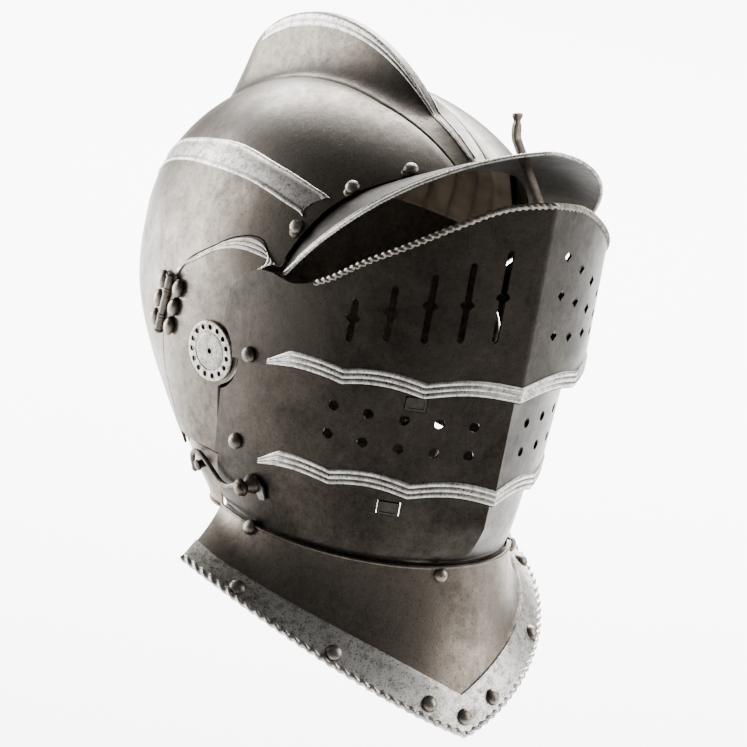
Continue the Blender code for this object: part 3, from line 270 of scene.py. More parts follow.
# %% Finish a piece
def plain(thing, finish, angle=32):
    """Works an object's modifiers into its mesh and gives it its finish."""
    bpy.context.view_layer.update()
    shape = bpy.data.meshes.new_from_object(thing.evaluated_get(bpy.context.evaluated_depsgraph_get()))
    thing.modifiers.clear()
    thing.data = shape
    shape.materials.clear()
    for one in (finish if isinstance(finish, tuple) else (finish,)):
        shape.materials.append(one)
    shape.shade_smooth()
    shape.set_sharp_from_angle(angle=math.radians(angle))
    return thing


def seat(thing, body, *nodes):
    """Puts a finished piece on its body, in place of the frame's own pieces."""
    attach(thing, body)
    if nodes:
        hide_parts(*nodes)
    print(thing.name, len(thing.data.polygons), "faces on", body)
    return thing


def side_prism(name, outline, low, high):
    """A closed prism across the helmet over an outline of (y, z)."""
    mesh = bmesh.new()
    rings = [[mesh.verts.new((x, y, z)) for y, z in outline] for x in (low, high)]
    close_rings(mesh, rings)
    return cutting_tool(name, mesh)


def close_rings(mesh, rings):
    """Walls between two rings of points, and a cap on each."""
    mesh.faces.new(rings[0][::-1])
    mesh.faces.new(rings[-1])
    for low, high in zip(rings, rings[1:]):
        for i in range(len(low)):
            j = (i + 1) % len(low)
            mesh.faces.new((low[i], low[j], high[j], high[i]))
    bmesh.ops.recalc_face_normals(mesh, faces=mesh.faces)


def prism(mesh, place, outline, low, high):
    rings = [[mesh.verts.new(place @ Vector((x, y, z))) for x, y in outline] for z in (low, high)]
    faces = [mesh.faces.new(rings[0][::-1]), mesh.faces.new(rings[1])]
    for i in range(len(outline)):
        j = (i + 1) % len(outline)
        faces.append(mesh.faces.new((rings[0][i], rings[0][j], rings[1][j], rings[1][i])))
    bmesh.ops.recalc_face_normals(mesh, faces=faces)


def cutting_tool(name, mesh):
    data = bpy.data.meshes.new(name)
    mesh.to_mesh(data)
    mesh.free()
    thing = add(name, data)
    thing.hide_render = True
    return thing


def cut(thing, tool, operation="DIFFERENCE"):
    """Cuts with a tool at once, then throws the tool away."""
    change = thing.modifiers.new("cut", "BOOLEAN")
    change.operation = operation
    change.object = tool
    change.solver = "EXACT"
    change.use_self = thing.name == "helmet_skull"
    bpy.context.view_layer.update()
    shape = bpy.data.meshes.new_from_object(thing.evaluated_get(bpy.context.evaluated_depsgraph_get()))
    thing.modifiers.clear()
    thing.data = shape
    bpy.data.objects.remove(tool, do_unlink=True)


def circle(radius, count=16, turn=0.0):
    steps = [(i + turn) * 2 * math.pi / count for i in range(count)]
    return [(radius * math.cos(a), radius * math.sin(a)) for a in steps]


# %% [markdown]
# ## The shape of the head
# The skull bowl is an egg: one ellipsoid that leans forward above the temples, and a smooth loft below
# them. Both are written as rules that give a point for a side, a y and a z, so the borders, cheeks and
# rivets can ask where the surface is and which way it faces.

# %% Rules for the head surface
BOWL_WIDTH, BOWL_DEPTH, BOWL_HEIGHT = 100.5 * MM, 132 * MM, 102 * MM
BOWL_CENTRE_Y, BOWL_LEAN, NAPE_EDGE_Z = -4 * MM, 0.08, -112 * MM
HEAD_STATIONS = (
    (-0.000, 0.1005, 0.1320, -0.004), (-0.025, 0.1000, 0.1295, -0.002), (-0.045, 0.0988, 0.1230, -0.001),
    (-0.066, 0.0962, 0.1090, -0.002), (-0.085, 0.0920, 0.0925, -0.004), (-0.103, 0.0880, 0.0690, -0.005),
    (-0.122, 0.0820, 0.0450, -0.008), (-0.137, 0.0770, 0.0350, -0.015), (-0.150, 0.0760, 0.0340, -0.015),
)


def head_section(z):
    """Half width, reach to the back, reach to the front and centre y of the head at height z."""
    if z >= 0:
        share = math.sqrt(max(0.0, 1 - (z / BOWL_HEIGHT) ** 2))
        return BOWL_WIDTH * share, BOWL_DEPTH * share, BOWL_DEPTH * share, BOWL_CENTRE_Y - BOWL_LEAN * z
    width, back, centre = through(HEAD_STATIONS, z)
    return width, back, BOWL_DEPTH * width / BOWL_WIDTH, centre


def head_point(side, y, z, out=0.0):
    """A point of the head's outer face at the given y and z, moved out along the normal."""
    width, back, front, centre = head_section(z)
    reach = back if y > centre else front
    share = min(0.999, abs(y - centre) / reach)
    point = Vector((side * width * math.sqrt(1 - share * share), y, z))
    return point + head_normal(side, y, z) * out if out else point


def head_normal(side, y, z):
    step = 0.5 * MM
    along = head_point(side, y + step, z) - head_point(side, y - step, z)
    up = head_point(side, y, z + step) - head_point(side, y, z - step)
    normal = along.cross(up).normalized()
    return normal if normal.x * side > 0 else -normal


def head_at(angle, z, out=0.0):
    """A point of the head's outer face: angle 0 is the back, a quarter turn is a side."""
    width, back, front, centre = head_section(z)
    reach = back if math.cos(angle) > 0 else front
    point = Vector((width * math.sin(angle), centre + reach * math.cos(angle), z))
    if not out:
        return point
    step = 0.5 * MM
    along = head_at(angle + 0.01, z) - head_at(angle - 0.01, z)
    normal = (head_at(angle, z + step) - head_at(angle, z - step)).cross(along).normalized()
    return point + normal * (out if normal.dot(Vector((point.x, point.y - centre, 0))) > 0 else -out)


def bowl_level(point, inset=0.0):
    """1 on the bowl less an inset, above 1 outside it."""
    y = point.y - BOWL_CENTRE_Y + BOWL_LEAN * point.z
    return math.sqrt((point.x / (BOWL_WIDTH - inset)) ** 2 + (y / (BOWL_DEPTH - inset)) ** 2
                     + (point.z / (BOWL_HEIGHT - inset)) ** 2)


def bowl_normal(point):
    y = (point.y - BOWL_CENTRE_Y + BOWL_LEAN * point.z) / BOWL_DEPTH ** 2
    return Vector((point.x / BOWL_WIDTH ** 2, y, point.z / BOWL_HEIGHT ** 2 + BOWL_LEAN * y)).normalized()


print("temple width", round(2 * BOWL_WIDTH * 1000), "mm")

# %% [markdown]
# ## The skull and its comb
# The comb is a tall hollow ridge raised from the same sheet as the bowl. It could be a separate blade
# laid on the bowl, but a smith draws it up from the metal, so its flanks flow into the bowl in a
# hollow curve. Each arch of the grid crosses the bowl and climbs the comb. The comb's faces get their
# own lighter finish, and a fine groove marks its foot.

# %% The comb's height and profile
COMB_TOP_Y, COMB_TOP_Z, COMB_FRONT_CURVE = 36 * MM, 127.5 * MM, 4.3
COMB_BACK_REACH, COMB_BACK_DROP = 76 * MM, 50 * MM
COMB_TIP_HALF, COMB_ROOT_HALF, COMB_FLARE = 2 * MM, 22 * MM, 2.1
COMB_FOOT, COMB_NARROWING = 2.5 * MM, 0.4
COMB_OFFSETS = [0, 1, 2, 2.6, 3.4, 4.4, 5.6, 7, 8.6, 10.4, 12.4, 14.6, 16.8, 18.6, 19.6, 20.0, 20.5, 21.0, 22]
COMB_GROOVE = {20.0: 0.25 * MM, 20.5: 0.6 * MM, 21.0: 0.25 * MM}


def comb_height(y):
    """How far the crest stands above the bowl."""
    if y < COMB_TOP_Y:
        crest = COMB_TOP_Z - COMB_FRONT_CURVE * (y - COMB_TOP_Y) ** 2
    else:
        share = min(1, (y - COMB_TOP_Y) / COMB_BACK_REACH)
        crest = COMB_TOP_Z - COMB_BACK_DROP * (1 - math.sqrt(1 - share ** 2))
        crest -= max(0, y - COMB_TOP_Y - COMB_BACK_REACH) * 6
    bowl = BOWL_HEIGHT * math.sqrt(max(0, 1 - ((y - BOWL_CENTRE_Y) / BOWL_DEPTH) ** 2))
    return max(COMB_FOOT if y < COMB_TOP_Y else 0.0, crest - bowl)


def comb_profile(x):
    """Share of the comb's height at a distance x from the middle."""
    if x <= COMB_TIP_HALF:
        return 1.0
    return max(0.0, (COMB_ROOT_HALF - x) / (COMB_ROOT_HALF - COMB_TIP_HALF)) ** COMB_FLARE


def comb_shrink(y):
    share = math.sqrt(max(0.0, 1 - ((y - BOWL_CENTRE_Y) / BOWL_DEPTH) ** 2))
    forward = min(1, max(0, -20 * MM - y) / (60 * MM))
    return min(1.0, BOWL_WIDTH * share / (60 * MM)) * (1 - COMB_NARROWING * forward)


def bowl_half_arch(y):
    """Points (x, z) of half an arch from the crest down to the temple."""
    share = math.sqrt(max(0.0, 1 - ((y - BOWL_CENTRE_Y) / BOWL_DEPTH) ** 2))
    width, shrink = BOWL_WIDTH * share, comb_shrink(y)
    standing = min(1.0, comb_height(y) / (2.5 * MM))
    half = []
    for offset in COMB_OFFSETS:
        x = offset * MM * shrink
        rise = BOWL_HEIGHT * math.sqrt(max(0, share ** 2 - (x / BOWL_WIDTH) ** 2))
        groove = COMB_GROOVE.get(offset, 0.0) * standing
        half.append((x, rise + comb_height(y) * comb_profile(offset * MM) - groove))
    start = math.asin(min(1, COMB_OFFSETS[-1] * MM * shrink / width))
    for angle in spread(start, math.pi / 2, 26)[1:]:
        half.append((width * math.sin(angle), BOWL_HEIGHT * share * math.cos(angle)))
    return half


print("the crest stands", round(comb_height(0.05) * 1000), "mm above the bowl")

# %% The skull sheet
BOWL_STATIONS = spread(-92 * MM, 96 * MM, 64) + spread(98 * MM, 126 * MM, 18)
SIDE_ROWS = 34


def skull_sheet():
    """The bowl with its comb, and below its widest ring the sides and nape."""
    mesh = bmesh.new()
    layer = mesh.verts.layers.float.new("wear")
    arches = []
    for y in BOWL_STATIONS:
        half = bowl_half_arch(y)
        points = [(-x, z) for x, z in reversed(half)] + half[1:]
        arches.append([mesh.verts.new((x, y - BOWL_LEAN * z, z)) for x, z in points])
    middle = len(arches[0]) // 2
    for arch, y in zip(arches, BOWL_STATIONS):
        for step in range(-3, 4):
            arch[middle + step][layer] = 0.6 * min(1, comb_height(y) / (5 * MM))
    comb_reach = COMB_OFFSETS.index(20.5)
    for (low, high), y in zip(zip(arches, arches[1:]), BOWL_STATIONS):
        for i, (a, b, c, d) in enumerate(zip(low, low[1:], high[1:], high)):
            face = mesh.faces.new((a, b, c, d))
            on_comb = middle - comb_reach <= i < middle + comb_reach
            face.material_index = 1 if on_comb and comb_height(y) > 0.4 * MM else 0
    pole = mesh.verts.new((0, BOWL_CENTRE_Y + BOWL_DEPTH, 0))
    for a, b in zip(arches[-1], arches[-1][1:]):
        mesh.faces.new((a, b, pole))
    ring = [arch[0] for arch in arches] + [pole] + [arch[-1] for arch in reversed(arches)]
    shares = [((v.co.y - BOWL_CENTRE_Y) / BOWL_DEPTH, math.copysign(1, v.co.x) if v is not pole else 0)
              for v in ring]
    for z in spread(0, NAPE_EDGE_Z, SIDE_ROWS)[1:]:
        width, back, front, centre = head_section(z)
        lower = []
        for share, side in shares:
            reach = back if share > 0 else front
            x = side * width * math.sqrt(max(0, 1 - share * share))
            lower.append(mesh.verts.new((x, centre + reach * share, z)))
        for a, b, c, d in zip(ring, ring[1:], lower[1:], lower):
            mesh.faces.new((a, b, c, d))
        ring = lower
    bmesh.ops.recalc_face_normals(mesh, faces=mesh.faces)
    mesh.normal_update()
    if sum(f.normal.dot(from_axis(f.calc_center_median())) for f in mesh.faces) < 0:
        bmesh.ops.reverse_faces(mesh, faces=mesh.faces)
    data = bpy.data.meshes.new("skull")
    mesh.to_mesh(data)
    mesh.free()
    return data


# %% [markdown]
# The face opening, the two cheek openings and the brow are one outline seen from the side. One prism
# through the skull cuts them all, exactly as a smith shears the sheet along a drawn line.

# %% Outlines of the brow, the cheeks and their openings
BROW_LINE = (
    (0.000, -0.0460), (0.014, -0.0500), (0.040, -0.0575), (0.054, -0.0630), (0.062, -0.0680),
    (0.068, -0.0735), (0.076, -0.0820), (0.082, -0.0890), (0.110, -0.1220), (0.150, -0.1700),
)
EYE_CORNER_Z = 14 * MM
CHEEK_BOTTOM_Z, CHEEK_FRONT_Y = -104 * MM, -21 * MM
SEAM, SEAM_TOP_Y, SEAM_TOP_Z, SEAM_LEAN, SEAM_CURL = 0.8 * MM, 27 * MM, -20 * MM, 0.165, 18 * MM
HINGE_TOP_Z, HINGE_BOTTOM_Z = -15 * MM, -51 * MM
ARCH = (
    (0.0, -0.0185), (0.15, -0.0045), (0.32, 0.006), (0.47, 0.0155), (0.645, 0.0223), (0.80, 0.0255),
    (0.92, 0.0247), (1.0, 0.0195),
)
CHEEK_TONGUE_Z, CHEEK_TONGUE_Y = 12.5 * MM, -41.5 * MM
EAR_Y, EAR_Z, EAR_NOTCH_RADIUS, LOBE_CLEARANCE = -14 * MM, -46 * MM, 21 * MM, 2 * MM


def seam_y(z):
    """Rear edge of a cheek: straight along its hinge, curving forward below it."""
    below = max(0, HINGE_BOTTOM_Z - z) / (HINGE_BOTTOM_Z - CHEEK_BOTTOM_Z)
    return SEAM_TOP_Y + (SEAM_TOP_Z - max(z, HINGE_BOTTOM_Z)) * SEAM_LEAN - SEAM_CURL * below ** 2


def brow_y(z):
    return through(BROW_LINE, z)[0]


def cheek_front(z):
    """Front edge of a cheek plate: straight, with a lobe behind the rosette and a tongue above."""
    tongue_low = -6 * MM
    if z > tongue_low:
        share = min(1, (z - tongue_low) / (CHEEK_TONGUE_Z - tongue_low))
        return CHEEK_FRONT_Y + (CHEEK_TONGUE_Y - CHEEK_FRONT_Y) * share
    lobe = EAR_NOTCH_RADIUS - LOBE_CLEARANCE
    height = abs(z - EAR_Z)
    if height < lobe:
        return min(CHEEK_FRONT_Y, EAR_Y - math.sqrt(lobe ** 2 - height ** 2))
    return CHEEK_FRONT_Y


def cheek_grid_point(side, across, up):
    """A point of a cheek plate: across runs from the hinge to the front, up from the bottom."""
    z = CHEEK_BOTTOM_Z + (through(ARCH, across)[0] - CHEEK_BOTTOM_Z) * up
    rear = seam_y(z)
    return head_point(side, rear + (cheek_front(z) - rear) * across, z)


def face_opening():
    arch = []
    for across in spread(0, 1, 40):
        edge = cheek_grid_point(1, across, 1)
        arch.append((edge.y + SEAM * (1 - 1.6 * across), edge.z + SEAM))
    low, far, top = NAPE_EDGE_Z - 10 * MM, -0.2, 0.14
    seam = [(seam_y(z) + SEAM, z) for z in spread(CHEEK_BOTTOM_Z, arch[0][1], 30)[:-1]]
    corner_z = EYE_CORNER_Z + MM
    outline = [(seam[0][0], low)] + seam + arch + [(CHEEK_TONGUE_Y - SEAM, corner_z)]
    outline += [(brow_y(z), z) for z in spread(corner_z, top, 80)]
    return outline + [(far, top), (far, low)]


skull = add("helmet_skull", skull_sheet())
solid = skull.modifiers.new("wall", "SOLIDIFY")
solid.thickness, solid.offset = PLATE, -1
cut(skull, side_prism("face_shears", face_opening(), -0.14, 0.14))
plain(skull, (skull_steel, comb_steel), 40)
seat(skull, "root", "skull")

# %% [markdown]
# ## Twisted and rolled edges
# The free edges of such plates are turned over a wire and filed into a rope, which stiffens the edge
# and hides its sharpness. The rope follows a path, so Geometry Nodes suit it: a ring with lobes is
# swept along the path while the path's tilt turns it. A modelled twist would have to be redone for
# every edge; here each edge only gives a line of points.

# %% The rope tree
def new_tree(name, *sockets):
    """A geometry tree with named inputs; sockets are (label, kind, value)."""
    tree = bpy.data.node_groups.new(name, "GeometryNodeTree")
    tree.interface.new_socket("Geometry", in_out="INPUT", socket_type="NodeSocketGeometry")
    tree.interface.new_socket("Geometry", in_out="OUTPUT", socket_type="NodeSocketGeometry")
    for label, kind, value in sockets:
        socket = tree.interface.new_socket(label, in_out="INPUT", socket_type=kind)
        if value is not None:
            socket.default_value = value
    return tree


class Wiring:
    """Short words for adding and joining a tree's nodes."""

    def __init__(self, tree):
        self.tree = tree
        self.start = tree.nodes.new("NodeGroupInput").outputs
        self.end = tree.nodes.new("NodeGroupOutput").inputs

    def node(self, kind, **inputs):
        made = self.tree.nodes.new(kind)
        for label, value in inputs.items():
            self.put(made.inputs[label.replace("_", " ")], value)
        return made

    def put(self, socket, value):
        if isinstance(value, bpy.types.NodeSocket):
            self.tree.links.new(value, socket)
        else:
            socket.default_value = value

    def maths(self, operation, *values):
        made = self.tree.nodes.new("ShaderNodeMath")
        made.operation = operation
        for socket, value in zip(made.inputs, values):
            self.put(socket, value)
        return made.outputs[0]


def rope_tree():
    tree = new_tree("twisted_edge", ("Radius", "NodeSocketFloat", 1.6 * MM),
                    ("Pitch", "NodeSocketFloat", 9 * MM),
                    ("Strands", "NodeSocketFloat", 2.0), ("Depth", "NodeSocketFloat", 0.22),
                    ("Step", "NodeSocketFloat", 0.9 * MM), ("Finish", "NodeSocketMaterial", None))
    w = Wiring(tree)
    line = w.node("GeometryNodeMeshToCurve", Mesh=w.start["Geometry"]).outputs["Curve"]
    even = w.node("GeometryNodeResampleCurve", Curve=line)
    even.mode = "LENGTH"
    w.put(even.inputs["Length"], w.start["Step"])
    walked = w.node("GeometryNodeSplineParameter").outputs["Length"]
    turn = w.maths("DIVIDE", w.maths("MULTIPLY", walked, 2 * math.pi), w.start["Pitch"])
    twisted = w.node("GeometryNodeSetCurveTilt", Curve=even.outputs["Curve"], Tilt=turn).outputs["Curve"]
    circle_node = w.node("GeometryNodeCurvePrimitiveCircle", Resolution=16, Radius=w.start["Radius"])
    ring = circle_node.outputs["Curve"]
    around = w.maths("MULTIPLY", w.node("GeometryNodeSplineParameter").outputs["Factor"], 2 * math.pi)
    lobes = w.maths("COSINE", w.maths("MULTIPLY", around, w.start["Strands"]))
    swell = w.maths("ADD", w.maths("MULTIPLY", lobes, w.start["Depth"]), 1.0)
    grown = w.tree.nodes.new("ShaderNodeVectorMath")
    grown.operation = "SCALE"
    w.put(grown.inputs[0], w.node("GeometryNodeInputPosition").outputs["Position"])
    w.put(grown.inputs["Scale"], swell)
    profile = w.node("GeometryNodeSetPosition", Geometry=ring, Position=grown.outputs[0]).outputs["Geometry"]
    swept = w.node("GeometryNodeCurveToMesh", Curve=twisted)
    w.put(swept.inputs["Profile Curve"], profile)
    w.put(swept.inputs["Fill Caps"], True)
    real = w.node("GeometryNodeRealizeInstances", Geometry=swept.outputs["Mesh"]).outputs["Geometry"]
    done = w.node("GeometryNodeSetMaterial", Geometry=real, Material=w.start["Finish"]).outputs["Geometry"]
    w.put(w.end["Geometry"], done)
    return tree


ROPE = rope_tree()


def grow(name, data, tree, **inputs):
    """Runs a geometry tree on a mesh, with its inputs set by their sockets, and keeps a plain mesh."""
    seed_object = add(name + "_path", data)
    change = seed_object.modifiers.new(tree.name, "NODES")
    change.node_group = tree
    for item in tree.interface.items_tree:
        if item.in_out == "INPUT" and item.name in inputs:
            change[item.identifier] = inputs[item.name]
    bpy.context.view_layer.update()
    shape = bpy.data.meshes.new_from_object(
        seed_object.evaluated_get(bpy.context.evaluated_depsgraph_get()))
    bpy.data.objects.remove(seed_object, do_unlink=True)
    made = add(name, shape)
    shape.shade_smooth()
    return made


def line_mesh(name, points, closed=False):
    data = bpy.data.meshes.new(name)
    edges = [(i, i + 1) for i in range(len(points) - 1)]
    data.from_pydata(points, edges + ([(len(points) - 1, 0)] if closed else []), [])
    return data


def rope(name, points, body, finish=border_steel, radius=1.6 * MM, pitch=9 * MM, strands=2.0, depth=0.22,
         step=0.9 * MM):
    made = grow(name, line_mesh(name, points), ROPE, Radius=radius, Pitch=pitch, Strands=strands,
                Depth=depth, Step=step, Finish=finish)
    wear = made.data.attributes.new("wear", "FLOAT", "POINT")
    wear.data.foreach_set("value", [0.85] * len(made.data.vertices))
    return seat(made, body)


# %% [markdown]
# ## Rivets and punched holes
# Rivets are round heads struck over a shank. They repeat, so one tree puts a domed head on every point
# of a small mesh and turns it to face outwards, with a fixed seed so that no two heads are quite
# alike. Placing each by hand would give the same, but the tree keeps them one size to change. Punched
# holes use the same idea: the tree stands a prism on each point, and the prisms cut the plate.

# %% Trees for rivets and punches
def rivet_tree():
    tree = new_tree("domed_rivets", ("Radius", "NodeSocketFloat", 4 * MM),
                    ("Height", "NodeSocketFloat", 2.6 * MM),
                    ("Stretch", "NodeSocketFloat", 1.0), ("Variation", "NodeSocketFloat", 0.05),
                    ("Seed", "NodeSocketInt", 3), ("Finish", "NodeSocketMaterial", None))
    w = Wiring(tree)
    ball = w.node("GeometryNodeMeshUVSphere", Segments=28, Rings=14, Radius=1.0).outputs["Mesh"]
    size = w.node("ShaderNodeCombineXYZ", X=w.maths("MULTIPLY", w.start["Radius"], w.start["Stretch"]),
                  Y=w.start["Radius"], Z=w.start["Height"]).outputs["Vector"]
    head = w.node("GeometryNodeTransform", Geometry=ball, Scale=size).outputs["Geometry"]
    facing = w.node("GeometryNodeInputNamedAttribute", Name="facing")
    facing.data_type = "FLOAT_VECTOR"
    across = w.node("GeometryNodeInputNamedAttribute", Name="across")
    across.data_type = "FLOAT_VECTOR"
    turn = w.tree.nodes.new("FunctionNodeAxesToRotation")
    turn.primary_axis, turn.secondary_axis = "Z", "X"
    w.put(turn.inputs[0], facing.outputs["Attribute"])
    w.put(turn.inputs[1], across.outputs["Attribute"])
    chance = w.node("FunctionNodeRandomValue", Seed=w.start["Seed"])
    chance.data_type = "FLOAT"
    w.put(chance.inputs[2], w.maths("SUBTRACT", 1.0, w.start["Variation"]))
    w.put(chance.inputs[3], w.maths("ADD", 1.0, w.start["Variation"]))
    placed = w.node("GeometryNodeInstanceOnPoints", Points=w.start["Geometry"], Instance=head,
                    Rotation=turn.outputs[0], Scale=chance.outputs[1])
    real = w.node("GeometryNodeRealizeInstances", Geometry=placed.outputs["Instances"]).outputs["Geometry"]
    done = w.node("GeometryNodeSetMaterial", Geometry=real, Material=w.start["Finish"]).outputs["Geometry"]
    w.put(w.end["Geometry"], done)
    return tree


def punch_tree():
    tree = new_tree("punches", ("Radius", "NodeSocketFloat", 3 * MM), ("Depth", "NodeSocketFloat", 16 * MM),
                    ("Sides", "NodeSocketInt", 12), ("Finish", "NodeSocketMaterial", None))
    w = Wiring(tree)
    bar = w.node("GeometryNodeMeshCylinder", Vertices=w.start["Sides"], Radius=w.start["Radius"],
                 Depth=w.start["Depth"]).outputs["Mesh"]
    facing = w.node("GeometryNodeInputNamedAttribute", Name="facing")
    facing.data_type = "FLOAT_VECTOR"
    across = w.node("GeometryNodeInputNamedAttribute", Name="across")
    across.data_type = "FLOAT_VECTOR"
    turn = w.tree.nodes.new("FunctionNodeAxesToRotation")
    turn.primary_axis, turn.secondary_axis = "Z", "X"
    w.put(turn.inputs[0], facing.outputs["Attribute"])
    w.put(turn.inputs[1], across.outputs["Attribute"])
    placed = w.node("GeometryNodeInstanceOnPoints", Points=w.start["Geometry"], Instance=bar,
                    Rotation=turn.outputs[0])
    real = w.node("GeometryNodeRealizeInstances", Geometry=placed.outputs["Instances"]).outputs["Geometry"]
    done = w.node("GeometryNodeSetMaterial", Geometry=real, Material=w.start["Finish"]).outputs["Geometry"]
    w.put(w.end["Geometry"], done)
    return tree


RIVETS = rivet_tree()
PUNCHES = punch_tree()


def point_mesh(name, places, across=None):
    """Loose points that remember which way they face; places are (point, normal)."""
    data = bpy.data.meshes.new(name)
    data.from_pydata([p for p, n in places], [], [])
    facing = data.attributes.new("facing", "FLOAT_VECTOR", "POINT")
    facing.data.foreach_set("vector", [c for p, n in places for c in Vector(n).normalized()])
    ways = across or [Vector((0, 0, 1)).cross(Vector(n)) for p, n in places]
    side = data.attributes.new("across", "FLOAT_VECTOR", "POINT")
    side.data.foreach_set("vector", [c for way in ways for c in Vector(way).normalized()])
    return data


def rivets(name, places, body, nodes=(), radius=4 * MM, height=2.6 * MM, stretch=1.0, across=None,
           finish=rivet_steel, seed=3):
    made = grow(name, point_mesh(name, places, across), RIVETS, Radius=radius, Height=height,
                Stretch=stretch, Seed=seed, Finish=finish)
    rub_crowns(made, places)
    return seat(made, body, *nodes)


def rub_crowns(made, places):
    """Rubs the crown of each head brighter than its foot."""
    wear = made.data.attributes.new("wear", "FLOAT", "POINT")
    values = []
    for vert in made.data.vertices:
        point, normal = min(places, key=lambda place: (place[0] - vert.co).length)
        rise = (vert.co - point).dot(Vector(normal).normalized())
        values.append(max(0.0, min(0.7, (rise / MM - 1.0) * 0.5)))
    wear.data.foreach_set("value", values)


def punches(name, places, radius, sides=12, depth=16 * MM, across=None):
    return grow(name, point_mesh(name, places, across), PUNCHES, Radius=radius, Sides=sides, Depth=depth,
                Finish=rivet_steel)


# %% [markdown]
# ## Raised borders
# The bright borders are embossed: the sheet is pushed up from behind into rounded ribs with grooves
# between them. A bump map would vanish at the silhouette, so each border is a thin closed strip that
# sits on its plate and follows it. The rib tops carry a high wear value and the grooves a low one.

# %% A ribbed border
def ribbed(name, surface, length_steps, body, ribs=3, rise=0.9 * MM, finish=border_steel, across_steps=25,
           sink=0.5 * MM, wave=0.0):
    """surface(along, across) gives (point, normal) for shares 0 to 1; across runs over the border."""
    rows, wear = [], []
    for i in range(length_steps):
        along = i / (length_steps - 1)
        row, marks = [], []
        for j in range(across_steps):
            across = j / (across_steps - 1)
            point, normal = surface(along, across)
            rib = abs(math.sin(math.pi * ribs * across)) ** 0.7
            edge = 0 < j < across_steps - 1
            height = rise * (0.3 + 0.7 * rib) if edge else 0.0
            row.append(point + normal * (height + TOUCH * 0.2 if edge else -sink))
            marks.append(0.2 + 0.8 * rib if edge else 0.0)
        rows.append(row)
        wear.append(marks)
    thing = add(name, sheet_mesh(name, rows, None, wear))
    facing = surface(0.5, 0.5)
    centre = min(thing.data.polygons, key=lambda f: (f.center - facing[0]).length)
    if centre.normal.dot(facing[1]) < 0:
        thing.data.flip_normals()
    back = thing.modifiers.new("back", "SOLIDIFY")
    back.thickness, back.offset = 0.35 * MM, -1
    plain(thing, finish, 60)
    return seat(thing, body)


# %% [markdown]
# A broad border runs along each side of the skull, with two ribs and a plain bright field between
# them. It starts in a fishtail behind the brow and fades out towards the back.

# %% Side borders of the skull
SIDE_BORDER_TOP = ((-60, 57.5), (-51, 59.5), (-24, 63), (19, 63), (70, 48), (96, 33), (112, 18))
SIDE_BORDER_LOW = ((-52, 44), (-43, 46.5), (-6.5, 50), (40, 44), (75, 33), (96, 20), (112, 8))


def line_at(stations, share):
    """A point (y, z) at a share of the way along a line of stations, in metres."""
    keys = [(i / (len(stations) - 1), y, z) for i, (y, z) in enumerate(stations)]
    y, z = through(keys, share)
    return y * MM, z * MM


def side_border(side):
    def surface(along, across):
        top, low = line_at(SIDE_BORDER_TOP, along), line_at(SIDE_BORDER_LOW, along)
        y = top[0] + (low[0] - top[0]) * across
        z = top[1] + (low[1] - top[1]) * across
        tail = math.cos(math.pi * (across - 0.5)) * 5 * MM * max(0.0, 1 - along * 9)
        y += tail
        return head_point(side, y, z), head_normal(side, y, z)
    return surface


def two_ribs(name, surface, steps, body):
    """A border with a rib along each edge and a plain bright field between them."""
    profile = ((0, -0.5, 0), (0.02, 0.35, 0.3), (0.05, 0.85, 0.9), (0.09, 1.0, 1), (0.13, 0.85, 0.9),
               (0.165, 0.35, 0.15), (0.19, 0.2, 0.3), (0.25, 0.28, 0.62), (0.5, 0.3, 0.72), (0.75, 0.28, 0.62),
               (0.81, 0.2, 0.3), (0.835, 0.35, 0.15), (0.87, 0.85, 0.9), (0.91, 1.0, 1), (0.95, 0.85, 0.9),
               (0.98, 0.35, 0.3), (1, -0.5, 0))
    rows, wear = [], []
    for i in range(steps):
        row = []
        for across, height, rub in profile:
            point, normal = surface(i / (steps - 1), across)
            row.append(point + normal * height * 0.9 * MM)
        rows.append(row)
        wear.append([rub for across, height, rub in profile])
    thing = add(name, sheet_mesh(name, rows, from_axis, wear))
    back = thing.modifiers.new("back", "SOLIDIFY")
    back.thickness, back.offset = 0.35 * MM, -1
    plain(thing, border_steel, 60)
    return seat(thing, body)


for word, side in SIDES:
    two_ribs(f"skull_border_{word}", side_border(side), 90, "root")


# %% [markdown]
# The comb's crest is edged with a doubled rib on each flank, where hands have polished it.

# %% Ribs beside the crest
def flank_surface(side, first, last):
    """The comb's flank: along runs front to back, across from first to last, both in mm from the middle."""
    def surface(along, across):
        y = -80 * MM + 182 * MM * along
        def at(yy, offset):
            share = math.sqrt(max(0.0, 1 - ((yy - BOWL_CENTRE_Y) / BOWL_DEPTH) ** 2))
            x = offset * MM * comb_shrink(yy)
            rise = BOWL_HEIGHT * math.sqrt(max(0, share ** 2 - (x / BOWL_WIDTH) ** 2))
            z = rise + comb_height(yy) * comb_profile(offset * MM)
            return Vector((side * x, yy - BOWL_LEAN * z, z))
        offset = first + (last - first) * across
        normal = (at(y + MM, offset) - at(y - MM, offset)).cross(at(y, offset + 0.2) - at(y, offset - 0.2))
        normal.normalize()
        return at(y, offset), normal if normal.x * side > 0 else -normal
    return surface


for word, side in SIDES:
    ribbed(f"comb_crest_ribs_{word}", flank_surface(side, 2.1, 4.3), 90, "root", ribs=2, rise=0.55 * MM,
           across_steps=13, sink=0.2 * MM)

# %% [markdown]
# ## The peak
# The peak shades the eyes. It runs back inside the skull and six rivets hold it. Its edge is rolled
# over a wire, and two fine lines are engraved beside the roll.

# %% Rules for the peak
PEAK_EDGE = ((0.0, -0.147, 0.110), (0.052, -0.135, 0.103), (0.106, -0.112, 0.070), (0.0935, -0.053, 0.011))
FLANGE, PEAK_INSET, PEAK_SKEW = 15 * MM, PLATE + 1.8 * MM, 0.06


